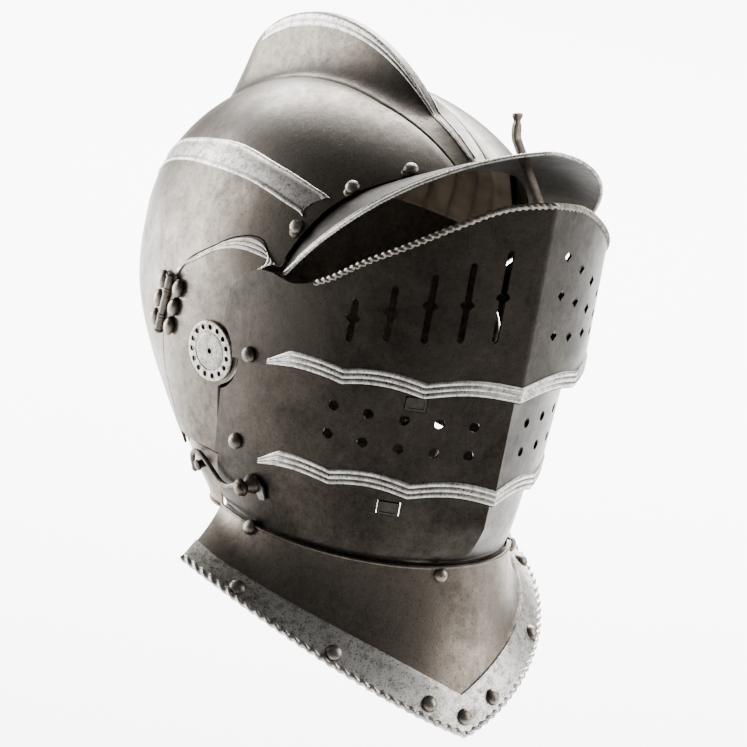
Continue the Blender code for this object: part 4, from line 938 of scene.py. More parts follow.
def brow_top(inset):
    """Height at which the brow plane meets the middle line of the bowl less an inset."""
    low, high = 0.0, BOWL_HEIGHT
    for _ in range(40):
        z = (low + high) / 2
        outside = bowl_level(Vector((0, brow_y(z), z)), inset) > 1
        low, high = (low, z) if outside else (z, high)
    return low


BROW_TOPS = {inset: brow_top(inset) for inset in (0, PEAK_INSET)}


def brow_point(share, inset):
    """A point on the bowl in the brow plane: share 0 in the middle, 1 at the eye corner."""
    top = BROW_TOPS[inset]
    z = top + (EYE_CORNER_Z + 5 * MM - top) * abs(share) ** 1.7
    y = brow_y(z)
    level = bowl_level(Vector((0, y, z)), inset)
    x = (BOWL_WIDTH - inset) * math.sqrt(max(0, 1 - level ** 2)) if share else 0.0
    return Vector((math.copysign(x, share), y, z))


def peak_point(share, out):
    """out is 0 at the brow and 1 at the peak's edge; below 0 it runs back inside the skull."""
    root = brow_point(share, PEAK_INSET)
    edge = bezier(PEAK_EDGE, abs(share))
    edge.x = math.copysign(edge.x, share)
    edge.z -= PEAK_SKEW * edge.x * (1 - abs(share) ** 3)
    if out >= 0:
        middle = (root + edge) / 2 + Vector((0, -2 * MM, 3 * MM))
        return root * (1 - out) ** 2 + middle * (2 * out * (1 - out)) + edge * out ** 2
    back = Vector((root.x, root.y + FLANGE * -out, root.z))
    centre = Vector((0, BOWL_CENTRE_Y, 0))
    return centre + (back - centre) / bowl_level(back, PEAK_INSET)


def peak_normal(share, out):
    a = peak_point(min(1, share + 0.01), out) - peak_point(max(-1, share - 0.01), out)
    b = peak_point(share, out) - peak_point(share, out - 0.02)
    normal = a.cross(b).normalized()
    return normal if normal.z > 0 else -normal


# %% Peak plate, its slot and its edge
BAR_AXIS = Vector((0, 0.70, 0.714)).normalized()
BAR_SLOT = Vector((0, -0.1250, 0.1010))
BAR_WIDTH, BAR_THICKNESS, BAR_CLEARANCE = 5.5 * MM, 2.5 * MM, 0.5 * MM
BAR_UP = Vector((0, -BAR_AXIS.z, BAR_AXIS.y))

peak_outs = spread(-1, -0.1, 6) + spread(0, 1, 26)
peak_rows = [[peak_point(share, out) for share in spread(-1, 1, 91)] for out in peak_outs]
peak_wear = [[max(0.0, min(0.5, (out - 0.93) * 8))] * 91 for out in peak_outs]
peak = plate("helmet_peak", peak_rows, lambda p: Vector((p.x, p.y, 0.12)), wear=peak_wear)
slot_tool = bmesh.new()
half_w, half_t = BAR_WIDTH / 2 + BAR_CLEARANCE, BAR_THICKNESS / 2 + BAR_CLEARANCE
prism(slot_tool, frame_at(BAR_SLOT, BAR_AXIS, BAR_UP),
      [(-half_w, -half_t), (half_w, -half_t), (half_w, half_t), (-half_w, half_t)], -12 * MM, 12 * MM)
plain(peak, buffe_painted_shade_steel)
cut(peak, cutting_tool("bar_slot", slot_tool))
plain(peak, buffe_painted_shade_steel)
seat(peak, "root", "peak")

edge_line = [peak_point(s, 1) - peak_normal(s, 0.98) * PLATE / 2 for s in spread(-0.985, 0.985, 120)]
rope("peak_rolled_edge", edge_line, "root", radius=1.25 * MM, depth=0.0, strands=0.0, step=2.5 * MM)
for number, out in enumerate((0.93, 0.89)):
    line = [peak_point(s, out) + peak_normal(s, out) * 0.05 * MM for s in spread(-0.93, 0.93, 100)]
    rope(f"peak_line_{number + 1}", line, "root", radius=0.32 * MM, depth=0.0, strands=0.0, step=2.5 * MM)

# %% [markdown]
# ## The nasal bar
# A flat bar slides in the peak's slot. Its top is bent and notched so that a thumb can lift it.

# %% Nasal bar
BAR_LOW, BAR_STRAIGHT, BAR_TOP = -36 * MM, 10 * MM, Vector((0, 0.0023, 0.0135))


def bar_stations():
    """Centre line of the bar from its foot to its bent top, with a half width at each point."""
    bend = BAR_SLOT + BAR_AXIS * BAR_STRAIGHT
    low = BAR_SLOT + BAR_AXIS * BAR_LOW
    straight = [(low.lerp(bend, t), 1.0) for t in spread(0, 0.93, 8)]
    curve = [(bezier((low.lerp(bend, 0.93), bend, bend + BAR_TOP * 0.1, bend + BAR_TOP * 0.35), t), 1.0)
             for t in spread(0.2, 1, 6)]
    neck = [(bend + BAR_TOP * t, w) for t, w in ((0.5, 0.95), (0.62, 0.66), (0.70, 0.60), (0.78, 0.85),
                                                 (0.88, 1.12), (0.96, 1.05), (1.0, 0.7))]
    foot = [(low, 0.7)]
    return foot + straight[1:] + curve + neck


def make_nasal_bar():
    mesh = bmesh.new()
    stations = bar_stations()
    rings = []
    for i, (point, share) in enumerate(stations):
        way = (stations[min(i + 1, len(stations) - 1)][0] - stations[max(i - 1, 0)][0]).normalized()
        thick = Vector((0, -way.z, way.y)) * BAR_THICKNESS / 2
        wide = Vector((BAR_WIDTH / 2 * share, 0, 0))
        corner = 0.82
        ring = [point + wide * a + thick * b for a, b in (
            (1, -corner), (1, corner), (corner, 1), (-corner, 1), (-1, corner), (-1, -corner),
            (-corner, -1), (corner, -1))]
        rings.append([mesh.verts.new(p) for p in ring])
    close_rings(mesh, rings)
    data = bpy.data.meshes.new("nasal_bar")
    mesh.to_mesh(data)
    mesh.free()
    thing = plain(add("sliding_nasal_bar", data), rivet_steel, 50)
    return seat(thing, "nasal_bar", "nasal_bar")


make_nasal_bar()

# %% [markdown]
# The brow rivets hold the peak. Each round head has a smaller side lobe, the burr of the old rivet's
# washer.

# %% Brow rivets
BROW_RIVETS = ((0.23, 0.0048), (0.48, 0.0047), (0.81, 0.0060))
for word, side in SIDES:
    places = []
    for share, distance in BROW_RIVETS:
        root = brow_point(share * side, 0)
        back = Vector((root.x, root.y + distance, root.z))
        centre = Vector((0, BOWL_CENTRE_Y, 0))
        point = centre + (back - centre) / bowl_level(back)
        places.append((point + bowl_normal(point) * TOUCH, bowl_normal(point)))
    nodes = [f"brow_rivet_{word}_{n}" for n in (1, 2, 3)]
    rivets(f"brow_rivets_{word}", places, "root", nodes, 4.2 * MM, 3 * MM)
    lobes = [(p + n.cross(Vector((0, 1, 0))).normalized() * side * -3.4 * MM - n * 0.6 * MM, n)
             for p, n in places]
    rivets(f"brow_lobes_{word}", lobes, "root", (), 3.0 * MM, 1.9 * MM)

# %% [markdown]
# ## Cheek plates
# Each cheek swings back on its hinge. It follows the head's own rule, so it lies flush with the skull.
# Its top arch and front tongue carry a ribbed border.

# %% Cheeks
def cheek_ups():
    """Shares of a cheek's height, with rows on the lobe behind the rosette."""
    lobe = EAR_NOTCH_RADIUS - LOBE_CLEARANCE
    span = ARCH[-1][1] - CHEEK_BOTTOM_Z
    heights = [EAR_Z + lobe * math.sin(a) for a in spread(-math.pi / 2, math.pi / 2, 33)]
    on_lobe = [(z - CHEEK_BOTTOM_Z) / span for z in heights]
    return spread(0, on_lobe[0], 12)[:-1] + on_lobe + spread(on_lobe[-1], 1, 22)[1:]


def make_cheek(word, side):
    rows = [[cheek_grid_point(side, across, up) for across in spread(0, 1, 34)] for up in cheek_ups()]
    return plain(plate(f"cheek_plate_{word}", rows), skull_steel, 40)


def cheek_edge():
    """The cheek's top arch and front tongue as a line of (y, z)."""
    arch = [cheek_grid_point(1, across, 1) for across in spread(0.03, 1, 60)]
    tongue = [cheek_grid_point(1, 1, up) for up in spread(1, 0.90, 14)[1:]]
    return [(p.y, p.z) for p in arch + tongue]


def offset_line(line, distance):
    """The line moved sideways, below an arch that runs to the front."""
    moved = []
    for i, (y, z) in enumerate(line):
        a, b = line[max(0, i - 3)], line[min(len(line) - 1, i + 3)]
        way = Vector((b[0] - a[0], b[1] - a[1])).normalized()
        moved.append((y + -way.y * -distance, z + way.x * distance))
    return moved


CHEEK_EDGE = cheek_edge()
BORDER_WIDTH = 8.5 * MM


def smoothed(line, passes):
    for _ in range(passes):
        line = [line[0]] + [((a[0] + 2 * b[0] + c[0]) / 4, (a[1] + 2 * b[1] + c[1]) / 4)
                            for a, b, c in zip(line, line[1:], line[2:])] + [line[-1]]
    return line


CHEEK_OUTER = offset_line(smoothed(CHEEK_EDGE, 4), 0.7 * MM)
CHEEK_INNER = smoothed(offset_line(smoothed(CHEEK_EDGE, 12), BORDER_WIDTH), 16)
first = [round(v, 4) for v in CHEEK_INNER[0]]
print("cheek border runs", len(CHEEK_EDGE), "stations; first inner point", first)


def cheek_border(side):
    def surface(along, across):
        spot = along * (len(CHEEK_OUTER) - 1)
        i = min(int(spot), len(CHEEK_OUTER) - 2)
        t = spot - i
        outer = [CHEEK_OUTER[i][k] * (1 - t) + CHEEK_OUTER[i + 1][k] * t for k in (0, 1)]
        inner = [CHEEK_INNER[i][k] * (1 - t) + CHEEK_INNER[i + 1][k] * t for k in (0, 1)]
        y = outer[0] + (inner[0] - outer[0]) * across
        z = outer[1] + (inner[1] - outer[1]) * across
        return head_point(side, y, z), head_normal(side, y, z)
    return surface


for word, side in SIDES:
    seat(make_cheek(word, side), f"cheek_{word}", f"cheek_{word}")
    ribbed(f"cheek_border_{word}", cheek_border(side), 90, f"cheek_{word}", ribs=3, rise=0.75 * MM)

# %% [markdown]
# ## Ear rosettes
# A round cap with a ring of holes lets the wearer hear. A turned disc with a raised rim is drawn as a
# profile and spun; the punch tree makes its ring of holes.

# %% Rosettes
ROSETTE_RADIUS, ROSETTE_HOLES, ROSETTE_HOLE_RADIUS = 17 * MM, 15, 1.5 * MM
ROSETTE_PROFILE = ((0.0, 1.5, 0.35), (3.0, 1.5, 0.4), (9.0, 1.45, 0.35), (10.4, 1.4, 0.3), (10.9, 1.2, 0.0),
                   (11.3, 1.55, 0.7), (16.0, 1.65, 0.75), (16.6, 1.55, 1.0), (17.0, 1.1, 0.9), (17.0, 0.0, 0.2),
                   (0.0, 0.0, 0.0))


def make_rosette(word, side):
    normal = head_normal(side, EAR_Y, EAR_Z)
    place = frame_at(head_point(side, EAR_Y, EAR_Z, TOUCH), normal)
    rows, wear = [], []
    for radius, height, rub in ROSETTE_PROFILE:
        ring = [place @ Vector((x, y, height * MM * 0.93)) for x, y in circle(max(radius, 0.001) * MM, 90)]
        rows.append(ring + [ring[0]])
        wear.append([rub] * 91)
    thing = add(f"ear_rosette_disc_{word}", sheet_mesh("rosette", rows, None, wear))
    mesh = bmesh.new()
    mesh.from_mesh(thing.data)
    bmesh.ops.remove_doubles(mesh, verts=mesh.verts, dist=0.02 * MM)
    bmesh.ops.recalc_face_normals(mesh, faces=mesh.faces)
    mesh.to_mesh(thing.data)
    mesh.free()
    ring = ROSETTE_RADIUS - 3.2 * MM
    turns = spread(0, 2 * math.pi, ROSETTE_HOLES + 1)[:-1]
    spots = [(0, 0)] + [(ring * math.cos(a), ring * math.sin(a)) for a in turns]
    places = [(place @ Vector((x, y, 0)), normal) for x, y in spots]
    cut(thing, punches("rosette_punches", places, ROSETTE_HOLE_RADIUS, 14, 8 * MM))
    plain(thing, border_steel, 30)
    return seat(thing, f"cheek_{word}", f"ear_rosette_{word}")


for word, side in SIDES:
    make_rosette(word, side)

# %% [markdown]
# ## Cheek hinges
# The hinge is a butt hinge: leaves wrapped round a pin, the cheek's leaf with one knuckle and the
# skull's with two. Stretched domed rivets fix each leaf. The knuckles are turned barrels, so a lofted
# tube with a small bead at each end shows how they are rolled.

# %% Hinge rules
HINGE_LENGTH, HINGE_STANDOFF, KNUCKLE_RADIUS, PIN_RADIUS = 36 * MM, 3.4 * MM, 2.6 * MM, 1.2 * MM
LEAF_GAP, LEAF_THICKNESS, LEAF_WIDTH, KNUCKLE_GAP = 1.0 * MM, 1.0 * MM, 13 * MM, 0.4 * MM


def hinge_frame(side):
    """z along the pin, y straight out of the head, x along the head to the back or the front."""
    top = head_point(side, seam_y(HINGE_TOP_Z), HINGE_TOP_Z, HINGE_STANDOFF)
    bottom = head_point(side, seam_y(HINGE_BOTTOM_Z), HINGE_BOTTOM_Z, HINGE_STANDOFF)
    middle, up = (top + bottom) / 2, (top - bottom).normalized()
    out = head_normal(side, middle.y, middle.z)
    out = (out - up * out.dot(up)).normalized()
    turn = Matrix((out.cross(up), out, up)).transposed().to_4x4()
    return Matrix.Translation(middle) @ turn


def make_leaf(word, side, way):
    """way 1 is the skull's leaf behind the pin, -1 the cheek's in front of it."""
    place = hinge_frame(side)
    rows = []
    half = HINGE_LENGTH / 2 - MM
    for v in spread(-half, half, 40):
        lobe = 0.5 + 0.5 * math.cos(6 * math.pi * v / HINGE_LENGTH)
        reach = LEAF_WIDTH - 1.5 * MM - 4.5 * MM * (1 - lobe)
        guess = place @ Vector((0, 0, v))
        rows.append([head_point(side, guess.y + way * d, guess.z, LEAF_GAP + LEAF_THICKNESS)
                     for d in spread(3.2 * MM, reach, 10)])
    which = "skull" if way > 0 else "cheek"
    thing = plate(f"hinge_leaf_{which}_plate_{word}", rows, thickness=LEAF_THICKNESS)
    plain(thing, rivet_steel, 40)
    third = HINGE_LENGTH / 6 + 2 * MM
    spans = [(-third, third)]
    if way > 0:
        spans = [(-HINGE_LENGTH / 2, -third - KNUCKLE_GAP), (third + KNUCKLE_GAP, HINGE_LENGTH / 2)]
    body = "root" if way > 0 else f"cheek_{word}"
    seat(thing, body, f"hinge_leaf_{which}_{word}")
    for number, (low, high) in enumerate(spans, 1):
        barrel(f"hinge_knuckle_{which}_{word}_{number}", place, low, high, body)
        wrap(f"hinge_wrap_{which}_{word}_{number}", side, place, low, high, way, body)


def turned(name, place, profile, body, finish=rivet_steel, count=28, nodes=()):
    """A closed turned shape: profile is (radius, height) from the lower pole to the upper one."""
    rows = []
    for radius, height in profile:
        ring = [place @ Vector((x, y, height)) for x, y in circle(max(radius, 0.01 * MM / 4), count)]
        rows.append(ring + [ring[0]])
    data = sheet_mesh(name, rows)
    mesh = bmesh.new()
    mesh.from_mesh(data)
    bmesh.ops.remove_doubles(mesh, verts=mesh.verts, dist=0.01 * MM)
    bmesh.ops.recalc_face_normals(mesh, faces=mesh.faces)
    mesh.to_mesh(data)
    mesh.free()
    return seat(plain(add(name, data), finish, 40), body, *nodes)


def barrel(name, place, low, high, body):
    bead = 1.0 * MM
    profile = [(PIN_RADIUS + 0.1 * MM, low), (KNUCKLE_RADIUS, low), (KNUCKLE_RADIUS + 0.1 * MM, low + bead),
               (KNUCKLE_RADIUS - 0.35 * MM, low + 1.5 * bead), (KNUCKLE_RADIUS - 0.15 * MM, (low + high) / 2),
               (KNUCKLE_RADIUS - 0.35 * MM, high - 1.5 * bead), (KNUCKLE_RADIUS + 0.1 * MM, high - bead),
               (KNUCKLE_RADIUS, high), (PIN_RADIUS + 0.1 * MM, high), (PIN_RADIUS + 0.1 * MM, low)]
    return turned(name, place, profile, body)


def wrap(name, side, place, low, high, way, body):
    """The strip between a knuckle and its leaf."""
    rows = []
    for v in spread(low, high, 6):
        centre = place @ Vector((0, 0, v))
        root = head_point(side, centre.y + way * 4.2 * MM, centre.z, LEAF_GAP + LEAF_THICKNESS * 0.85)
        out = (centre - head_point(side, centre.y, centre.z)).normalized()
        side_way = (root - centre - out * (root - centre).dot(out)).normalized()
        start = centre - out * 1.3 * MM + side_way * 2.0 * MM
        rows.append([start, start.lerp(root, 0.5), root])
    thing = plate(name, rows, thickness=0.8 * MM)
    plain(thing, rivet_steel)
    return seat(thing, body)


for word, side in SIDES:
    place = hinge_frame(side)
    make_leaf(word, side, 1)
    make_leaf(word, side, -1)
    tip = HINGE_LENGTH / 2 + 0.5 * MM
    turned(f"hinge_pin_rod_{word}", place,
           [(0, -tip - 0.6 * MM), (1.5 * MM, -tip - 0.4 * MM), (1.7 * MM, -tip),
                                            (PIN_RADIUS, -tip + 0.1 * MM), (PIN_RADIUS, tip - 0.1 * MM),
                                            (1.7 * MM, tip), (1.5 * MM, tip + 0.4 * MM), (0, tip + 0.6 * MM)],
           "root", rivet_steel, 24, [f"hinge_pin_{word}"])
    for which, way in (("skull", 1), ("cheek", -1)):
        places, ways = [], []
        for v in spread(HINGE_LENGTH * 0.33, -HINGE_LENGTH * 0.33, 3):
            guess = place @ Vector((0, 0, v))
            y = guess.y + way * 8.2 * MM
            normal = head_normal(side, y, guess.z)
            places.append((head_point(side, y, guess.z, LEAF_GAP + LEAF_THICKNESS), normal))
            ways.append(place.to_3x3() @ Vector((0, 0, 1)))
        body = "root" if way > 0 else f"cheek_{word}"
        nodes = [f"hinge_rivet_{which}_{word}_{n}" for n in (1, 2, 3)]
        rivets(f"hinge_rivets_{which}_{word}", places, body, nodes,
               3.6 * MM, 2.6 * MM, 1.5, ways)

# %% [markdown]
# ## The falling buffe
# Three plates cover the face, each one a step inside the one above, so they can drop in turn. In plan
# each is half of a smooth curve mirrored about a sharp keel. The upper lame has sights on the sword
# side and lozenge breaths on the other; the middle lame has round breaths.

# %% Rules for the buffe plates
LAME_STEP, BUFFE_REAR_Y, WIDTH_TAPER, TAPER_Z = 2.8 * MM, -22.5 * MM, 0.106, -30 * MM
UPPER_KEEL, UPPER_WIDTH, MIDDLE_KEEL, BEVOR_KEEL = 160 * MM, 101 * MM, 156.2 * MM, 152.8 * MM
UPPER_PIVOT, MIDDLE_PIVOT = (-48 * MM, -36 * MM), (-40 * MM, -90 * MM)
PIVOT_HOLE, UPPER_BOTTOM_Z, MIDDLE_TOP_Z, MIDDLE_BOTTOM_Z = 2.5 * MM, -28.5 * MM, -20 * MM, -91 * MM
RIM_SKEW, BEVOR_TOP_Z, CHIN_Z, NECK_Z = 0.08, -80 * MM, -108 * MM, -133 * MM
NECK_WIDTH, NECK_FRONT, NECK_CENTRE_Y = 80 * MM, 83 * MM, -52 * MM
UPPER_EDGE = ((0.0, 0.0835), (0.16, 0.0785), (0.33, 0.065), (0.5, 0.0485), (0.62, 0.036), (0.74, 0.0195),
              (0.83, 0.0115), (0.90, 0.0125), (0.95, 0.0085), (1.0, -0.0065))


def plan(share, keel, width, rear_y=BUFFE_REAR_Y, blunt=0.4):
    """The buffe in plan: share 0 at the keel, 1 at the rear edge, and -1 on the other side."""
    points = ((0, -keel, 0), (width * (0.40 + blunt * 0.58), -keel * (0.845 + 0.17 * blunt), 0),
              (width * 1.03, -keel * (0.72 + 0.23 * blunt), 0), (width, rear_y, 0))
    point = bezier(points, abs(share))
    return Vector((math.copysign(point.x, share), point.y, 0))


def lame_width(z, step):
    """Half width of the buffe's side at height z; step counts plates inwards."""
    return UPPER_WIDTH - step * LAME_STEP - max(0, TAPER_Z - z) * WIDTH_TAPER


def upper_point(share, z):
    point = plan(share, UPPER_KEEL, UPPER_WIDTH)
    point.z = z
    return point


def upper_top(share):
    edge = through(UPPER_EDGE, abs(share))[0]
    return edge - RIM_SKEW * plan(share, UPPER_KEEL, UPPER_WIDTH).x * (1 - abs(share))


def scallop(share, depth=3.5 * MM):
    """Three shallow arcs on each side between points on the lower edge."""
    arcs = (0.0, 0.33, 0.62, 0.90)
    s = abs(share)
    for low, high in zip(arcs, arcs[1:]):
        if low <= s <= high:
            return depth * math.sin(math.pi * (s - low) / (high - low))
    return 0.0


def upper_bottom(share):
    s = abs(share)
    return UPPER_BOTTOM_Z - 3.5 * MM + scallop(share) - 11.5 * MM * max(0, (s - 0.55) / 0.45) ** 1.5


def middle_point(share, z):
    keel = MIDDLE_KEEL - max(0, TAPER_Z - z) * 0.024
    point = plan(share, keel, lame_width(z, 1), blunt=0.22)
    point.z = z
    return point


def middle_bottom(share):
    s = abs(share)
    return MIDDLE_BOTTOM_Z - 3 * MM + scallop(share) - 8 * MM * max(0, (s - 0.55) / 0.45) ** 1.5


def neck_point(share, z=NECK_Z):
    """The neck ring, shared by the bevor's lower edge and the gorget's upper edge."""
    rear = math.pi / 2 + math.asin((BUFFE_REAR_Y - NECK_CENTRE_Y) / NECK_FRONT)
    angle = rear * share
    return Vector((NECK_WIDTH * math.sin(angle), NECK_CENTRE_Y - NECK_FRONT * math.cos(angle), z))


def bevor_point(share, down):
    """down is 0 at the top edge, 1 at the chin line and 2 at the neck."""
    top = plan(share, BEVOR_KEEL, lame_width(BEVOR_TOP_Z, 2), blunt=0.16)
    chin = plan(share, BEVOR_KEEL - 1.5 * MM, lame_width(CHIN_Z, 2), blunt=0.12)
    if down <= 1:
        point = top.lerp(chin, down)
        point.z = BEVOR_TOP_Z + (CHIN_Z - BEVOR_TOP_Z) * down
        return point
    chin.z = CHIN_Z
    neck = neck_point(share)
    control = chin.lerp(neck, 0.35)
    control.z = CHIN_Z + (NECK_Z - CHIN_Z) * 0.72
    t = down - 1
    return chin * (1 - t) ** 2 + control * (2 * t * (1 - t)) + neck * t ** 2


def bevor_at(share, z):
    return bevor_point(share, (z - BEVOR_TOP_Z) / (CHIN_Z - BEVOR_TOP_Z))


def buffe_normal(point_at, share, z):
    a = point_at(share + 0.01, z) - point_at(share - 0.01, z)
    b = point_at(share, z + MM) - point_at(share, z - MM)
    normal = a.cross(b).normalized()
    return normal if normal.dot(from_axis(point_at(share, z))) > 0 else -normal


def share_at_arc(point_at, distance, z):
    """The plan share that lies a distance from the keel along a plate; negative on the right."""
    walked, share, step = 0.0, 0.0, 0.01
    here = point_at(0, z)
    while walked < abs(distance) and share < 1:
        there = point_at(share + step, z)
        walked += (there - here).length
        here, share = there, share + step
    last = (there - point_at(share - step, z)).length
    return math.copysign(share - (walked - abs(distance)) / last * step, distance)


def share_at_y(point_at, side, y, z):
    low, high = 0.5, 1.0
    for _ in range(30):
        middle = (low + high) / 2
        if point_at(middle * side, z).y < y:
            low = middle
        else:
            high = middle
    return low * side


def lame_sheet(name, point_at, low_at, high_at, ups=26, shares=181):
    rows = []
    for up in spread(0, 1, ups):
        rows.append([point_at(s, low_at(s) + (high_at(s) - low_at(s)) * up) for s in spread(-1, 1, shares)])
    return plate(name, rows)


# %% Openings in the buffe
SIGHT_FIRST, SIGHT_SPACING, SIGHT_WIDTH, SIGHT_LOBE = 22.5 * MM, 20.5 * MM, 4 * MM, 9 * MM
SIGHTS = ((0.0565, 0.0295, 0.003), (0.0485, 0.024, 0.002), (0.040, 0.0215, 0.000), (0.0295, 0.0145, -0.002),
          (0.017, 0.006, -0.0076))
LOZENGE_FIRST, LOZENGE_SPACING, BREATH_RADIUS = 21 * MM, 17 * MM, 3 * MM
LOZENGES = ((0.051, 0.0285, 0.005), (0.041, 0.022, 0.002), (0.031, 0.015, 0.001), (0.020, 0.008, -0.002))
BREATH_FIRST, BREATH_SPACING, BREATH_COLUMNS, BREATH_ROWS = 20.5 * MM, 20 * MM, 5, (-0.048, -0.065)


def spot_on(point_at, share, z):
    return point_at(share, z), buffe_normal(point_at, share, z)


def sight_tools():
    """Prisms for the sights: a slot with round ends and a cross lobe at its middle."""
    mesh = bmesh.new()
    for number, (high, lobe_z, low) in enumerate(SIGHTS):
        share = share_at_arc(upper_point, -(SIGHT_FIRST + SIGHT_SPACING * number), lobe_z)
        place = frame_at(*spot_on(upper_point, share, lobe_z))
        w, lobe, up, down = SIGHT_WIDTH / 2, SIGHT_LOBE / 2, high - lobe_z, low - lobe_z
        right = [(w * math.sin(a), up - w + w * math.cos(a)) for a in spread(0.2, math.pi / 2, 5)]
        right += [(w, w * 1.2), (lobe * 0.8, w * 0.72), (lobe, 0), (lobe * 0.8, -w * 0.72), (w, -w * 1.2)]
        turn = spread(math.pi / 2, math.pi - 0.2, 5)
        right += [(w * math.sin(a), down + w + w * math.cos(a)) for a in turn]
        prism(mesh, place, right + [(-x, y) for x, y in reversed(right)], -8 * MM, 8 * MM)
    return cutting_tool("sights", mesh)


def pivot_tool(name, centres, radius):
    mesh = bmesh.new()
    for side in (-1, 1):
        for y, z in centres:
            prism(mesh, frame_at((side * 0.08, y, z), (side, 0, 0)), circle(radius, 40), 0, 40 * MM)
    return cutting_tool(name, mesh)


# %% The upper lame
upper = lame_sheet("buffe_upper_lame", upper_point, upper_bottom, upper_top)
plain(upper, buffe_painted_shade_steel)
cut(upper, pivot_tool("ear_shears", [(EAR_Y, EAR_Z)], EAR_NOTCH_RADIUS))
cut(upper, pivot_tool("pivot_drill", [UPPER_PIVOT], PIVOT_HOLE))
cut(upper, sight_tools())
lozenge_places = []
for number, heights in enumerate(LOZENGES):
    for z in heights:
        share = share_at_arc(upper_point, LOZENGE_FIRST + LOZENGE_SPACING * number, z)
        lozenge_places.append(spot_on(upper_point, share, z))
cut(upper, punches("lozenge_punches", lozenge_places, BREATH_RADIUS * 1.1, 4))
plain(upper, buffe_painted_shade_steel, 30)
seat(upper, "upper_lame", "upper_lame")

# %% The middle lame and the bevor
CATCH_WIDTH, CATCH_HEIGHT, CATCH_PROUD = 12 * MM, 8 * MM, 0.6 * MM
CATCH_FROM_KEEL, CATCH_DROP = 56 * MM, 6 * MM
CATCH_CLEARANCE = 0.4 * MM


def catch_frame(which):
    if which == "upper":
        z = UPPER_BOTTOM_Z - 3.5 * MM - CATCH_DROP
        return frame_at(*spot_on(middle_point, share_at_arc(middle_point, -CATCH_FROM_KEEL, z), z))
    z = MIDDLE_BOTTOM_Z - 5 * MM - CATCH_DROP
    return frame_at(*spot_on(bevor_at, share_at_arc(bevor_at, -CATCH_FROM_KEEL, z), z))


def catch_tool(which):
    x, y = CATCH_WIDTH / 2 + CATCH_CLEARANCE, CATCH_HEIGHT / 2 + CATCH_CLEARANCE
    mesh = bmesh.new()
    prism(mesh, catch_frame(which), [(-x, -y), (x, -y), (x, y), (-x, y)], -8 * MM, 8 * MM)
    return cutting_tool("catch_punch", mesh)


middle = lame_sheet("buffe_middle_lame", middle_point, middle_bottom, lambda s: MIDDLE_TOP_Z)
plain(middle, buffe_painted_shade_steel)
cut(middle, pivot_tool("ear_shears", [(EAR_Y, EAR_Z)], EAR_NOTCH_RADIUS))
cut(middle, pivot_tool("pivot_drill", [UPPER_PIVOT, MIDDLE_PIVOT], PIVOT_HOLE))
breath_places = []
for side in (-1, 1):
    for column in range(BREATH_COLUMNS):
        for z in BREATH_ROWS:
            share = share_at_arc(middle_point, side * (BREATH_FIRST + BREATH_SPACING * column), z)
            breath_places.append(spot_on(middle_point, share, z))
cut(middle, punches("breath_punches", breath_places, BREATH_RADIUS, 16))
cut(middle, catch_tool("upper"))
plain(middle, buffe_painted_shade_steel, 30)
seat(middle, "middle_lame", "middle_lame")

downs = spread(0, 1, 9) + spread(1, 2, 18)[1:]
bevor_rows = [[bevor_point(s, down) for s in spread(-1, 1, 161)] for down in downs]
for drop in (2 * MM, 4.5 * MM, 7 * MM):
    bevor_rows.append([neck_point(s, NECK_Z - drop) for s in spread(-1, 1, 161)])
bevor = plate("buffe_bevor", bevor_rows)
cut(bevor, pivot_tool("pivot_drill", [MIDDLE_PIVOT], PIVOT_HOLE))
cut(bevor, catch_tool("lower"))
plain(bevor, buffe_painted_shade_steel, 30)
seat(bevor, "root", "bevor")

# %% Borders of the lames
BAND_HEIGHT = 9.5 * MM


def lame_border(point_at, low_at, side, far):
    """A ribbed border along a lame's scalloped lower edge, from the keel to its pivot."""
    def surface(along, across):
        share = side * (0.0005 + (far - 0.0005) * along)
        fade = min(1.0, (1 - along) * 9 + 0.35)
        z = low_at(share) + 0.5 * MM + BAND_HEIGHT * across * fade
        return spot_on(point_at, share, z)
    return surface


for word, side in SIDES:
    for lame, point, bottom in (("upper_lame", upper_point, upper_bottom),
                                ("middle_lame", middle_point, middle_bottom)):
        band = lame_border(point, bottom, side, 0.86)
        ribbed(f"{lame}_border_{word}", band, 120, lame, ribs=3, rise=0.85 * MM)
rim = [upper_point(s, upper_top(s) - 0.6 * MM) - buffe_normal(upper_point, s, 0) * PLATE / 2
       for s in spread(-0.765, 0.765, 200)]
rope("upper_lame_rope", rim, "upper_lame", rivet_steel, 1.75 * MM, 8 * MM)

# %% [markdown]
# The pivots on which the lames fall are large domed rivets through both plates.

# %% Pivot rivets
PIVOT_RADIUS = 2.2 * MM
for word, side in SIDES:
    for which, (y, z), point_at, body in (("upper", UPPER_PIVOT, upper_point, "middle_lame"),
                                          ("middle", MIDDLE_PIVOT, middle_point, "root")):
        x = abs(point_at(share_at_y(point_at, side, y, z), z).x) + 2 * TOUCH
        depth = 2 * PLATE + LAME_STEP + 1.5 * MM
        place = frame_at((side * x, y, z), (side, 0, 0))
        dome_line = [(4.6 * MM * math.cos(a), 3.4 * MM * math.sin(a)) for a in spread(0, math.pi / 2, 9)]
        turned(f"{which}_pivot_head_{word}", place,
               [(0, -depth), (PIVOT_RADIUS, -depth), (PIVOT_RADIUS, 0), (4.5 * MM, 0)] + dome_line, body,
               rivet_steel, 32, [f"{which}_pivot_rivet_{word}"])

# %% [markdown]
# ## Spring catches
# Under each lame a small button stands through the plate below it. Its leaf spring behind the plate
# pushes it out. A button is a block with broken edges and a lip, so it is lofted from a few rings.

# %% Buttons and leaf springs
BUTTON_DEPTH, LEAF_SPRING, FOOT_FRONT = PLATE + 2.4 * MM, 0.8 * MM, PLATE + 0.9 * MM
LEAF_SPRING_LENGTH = 18 * MM


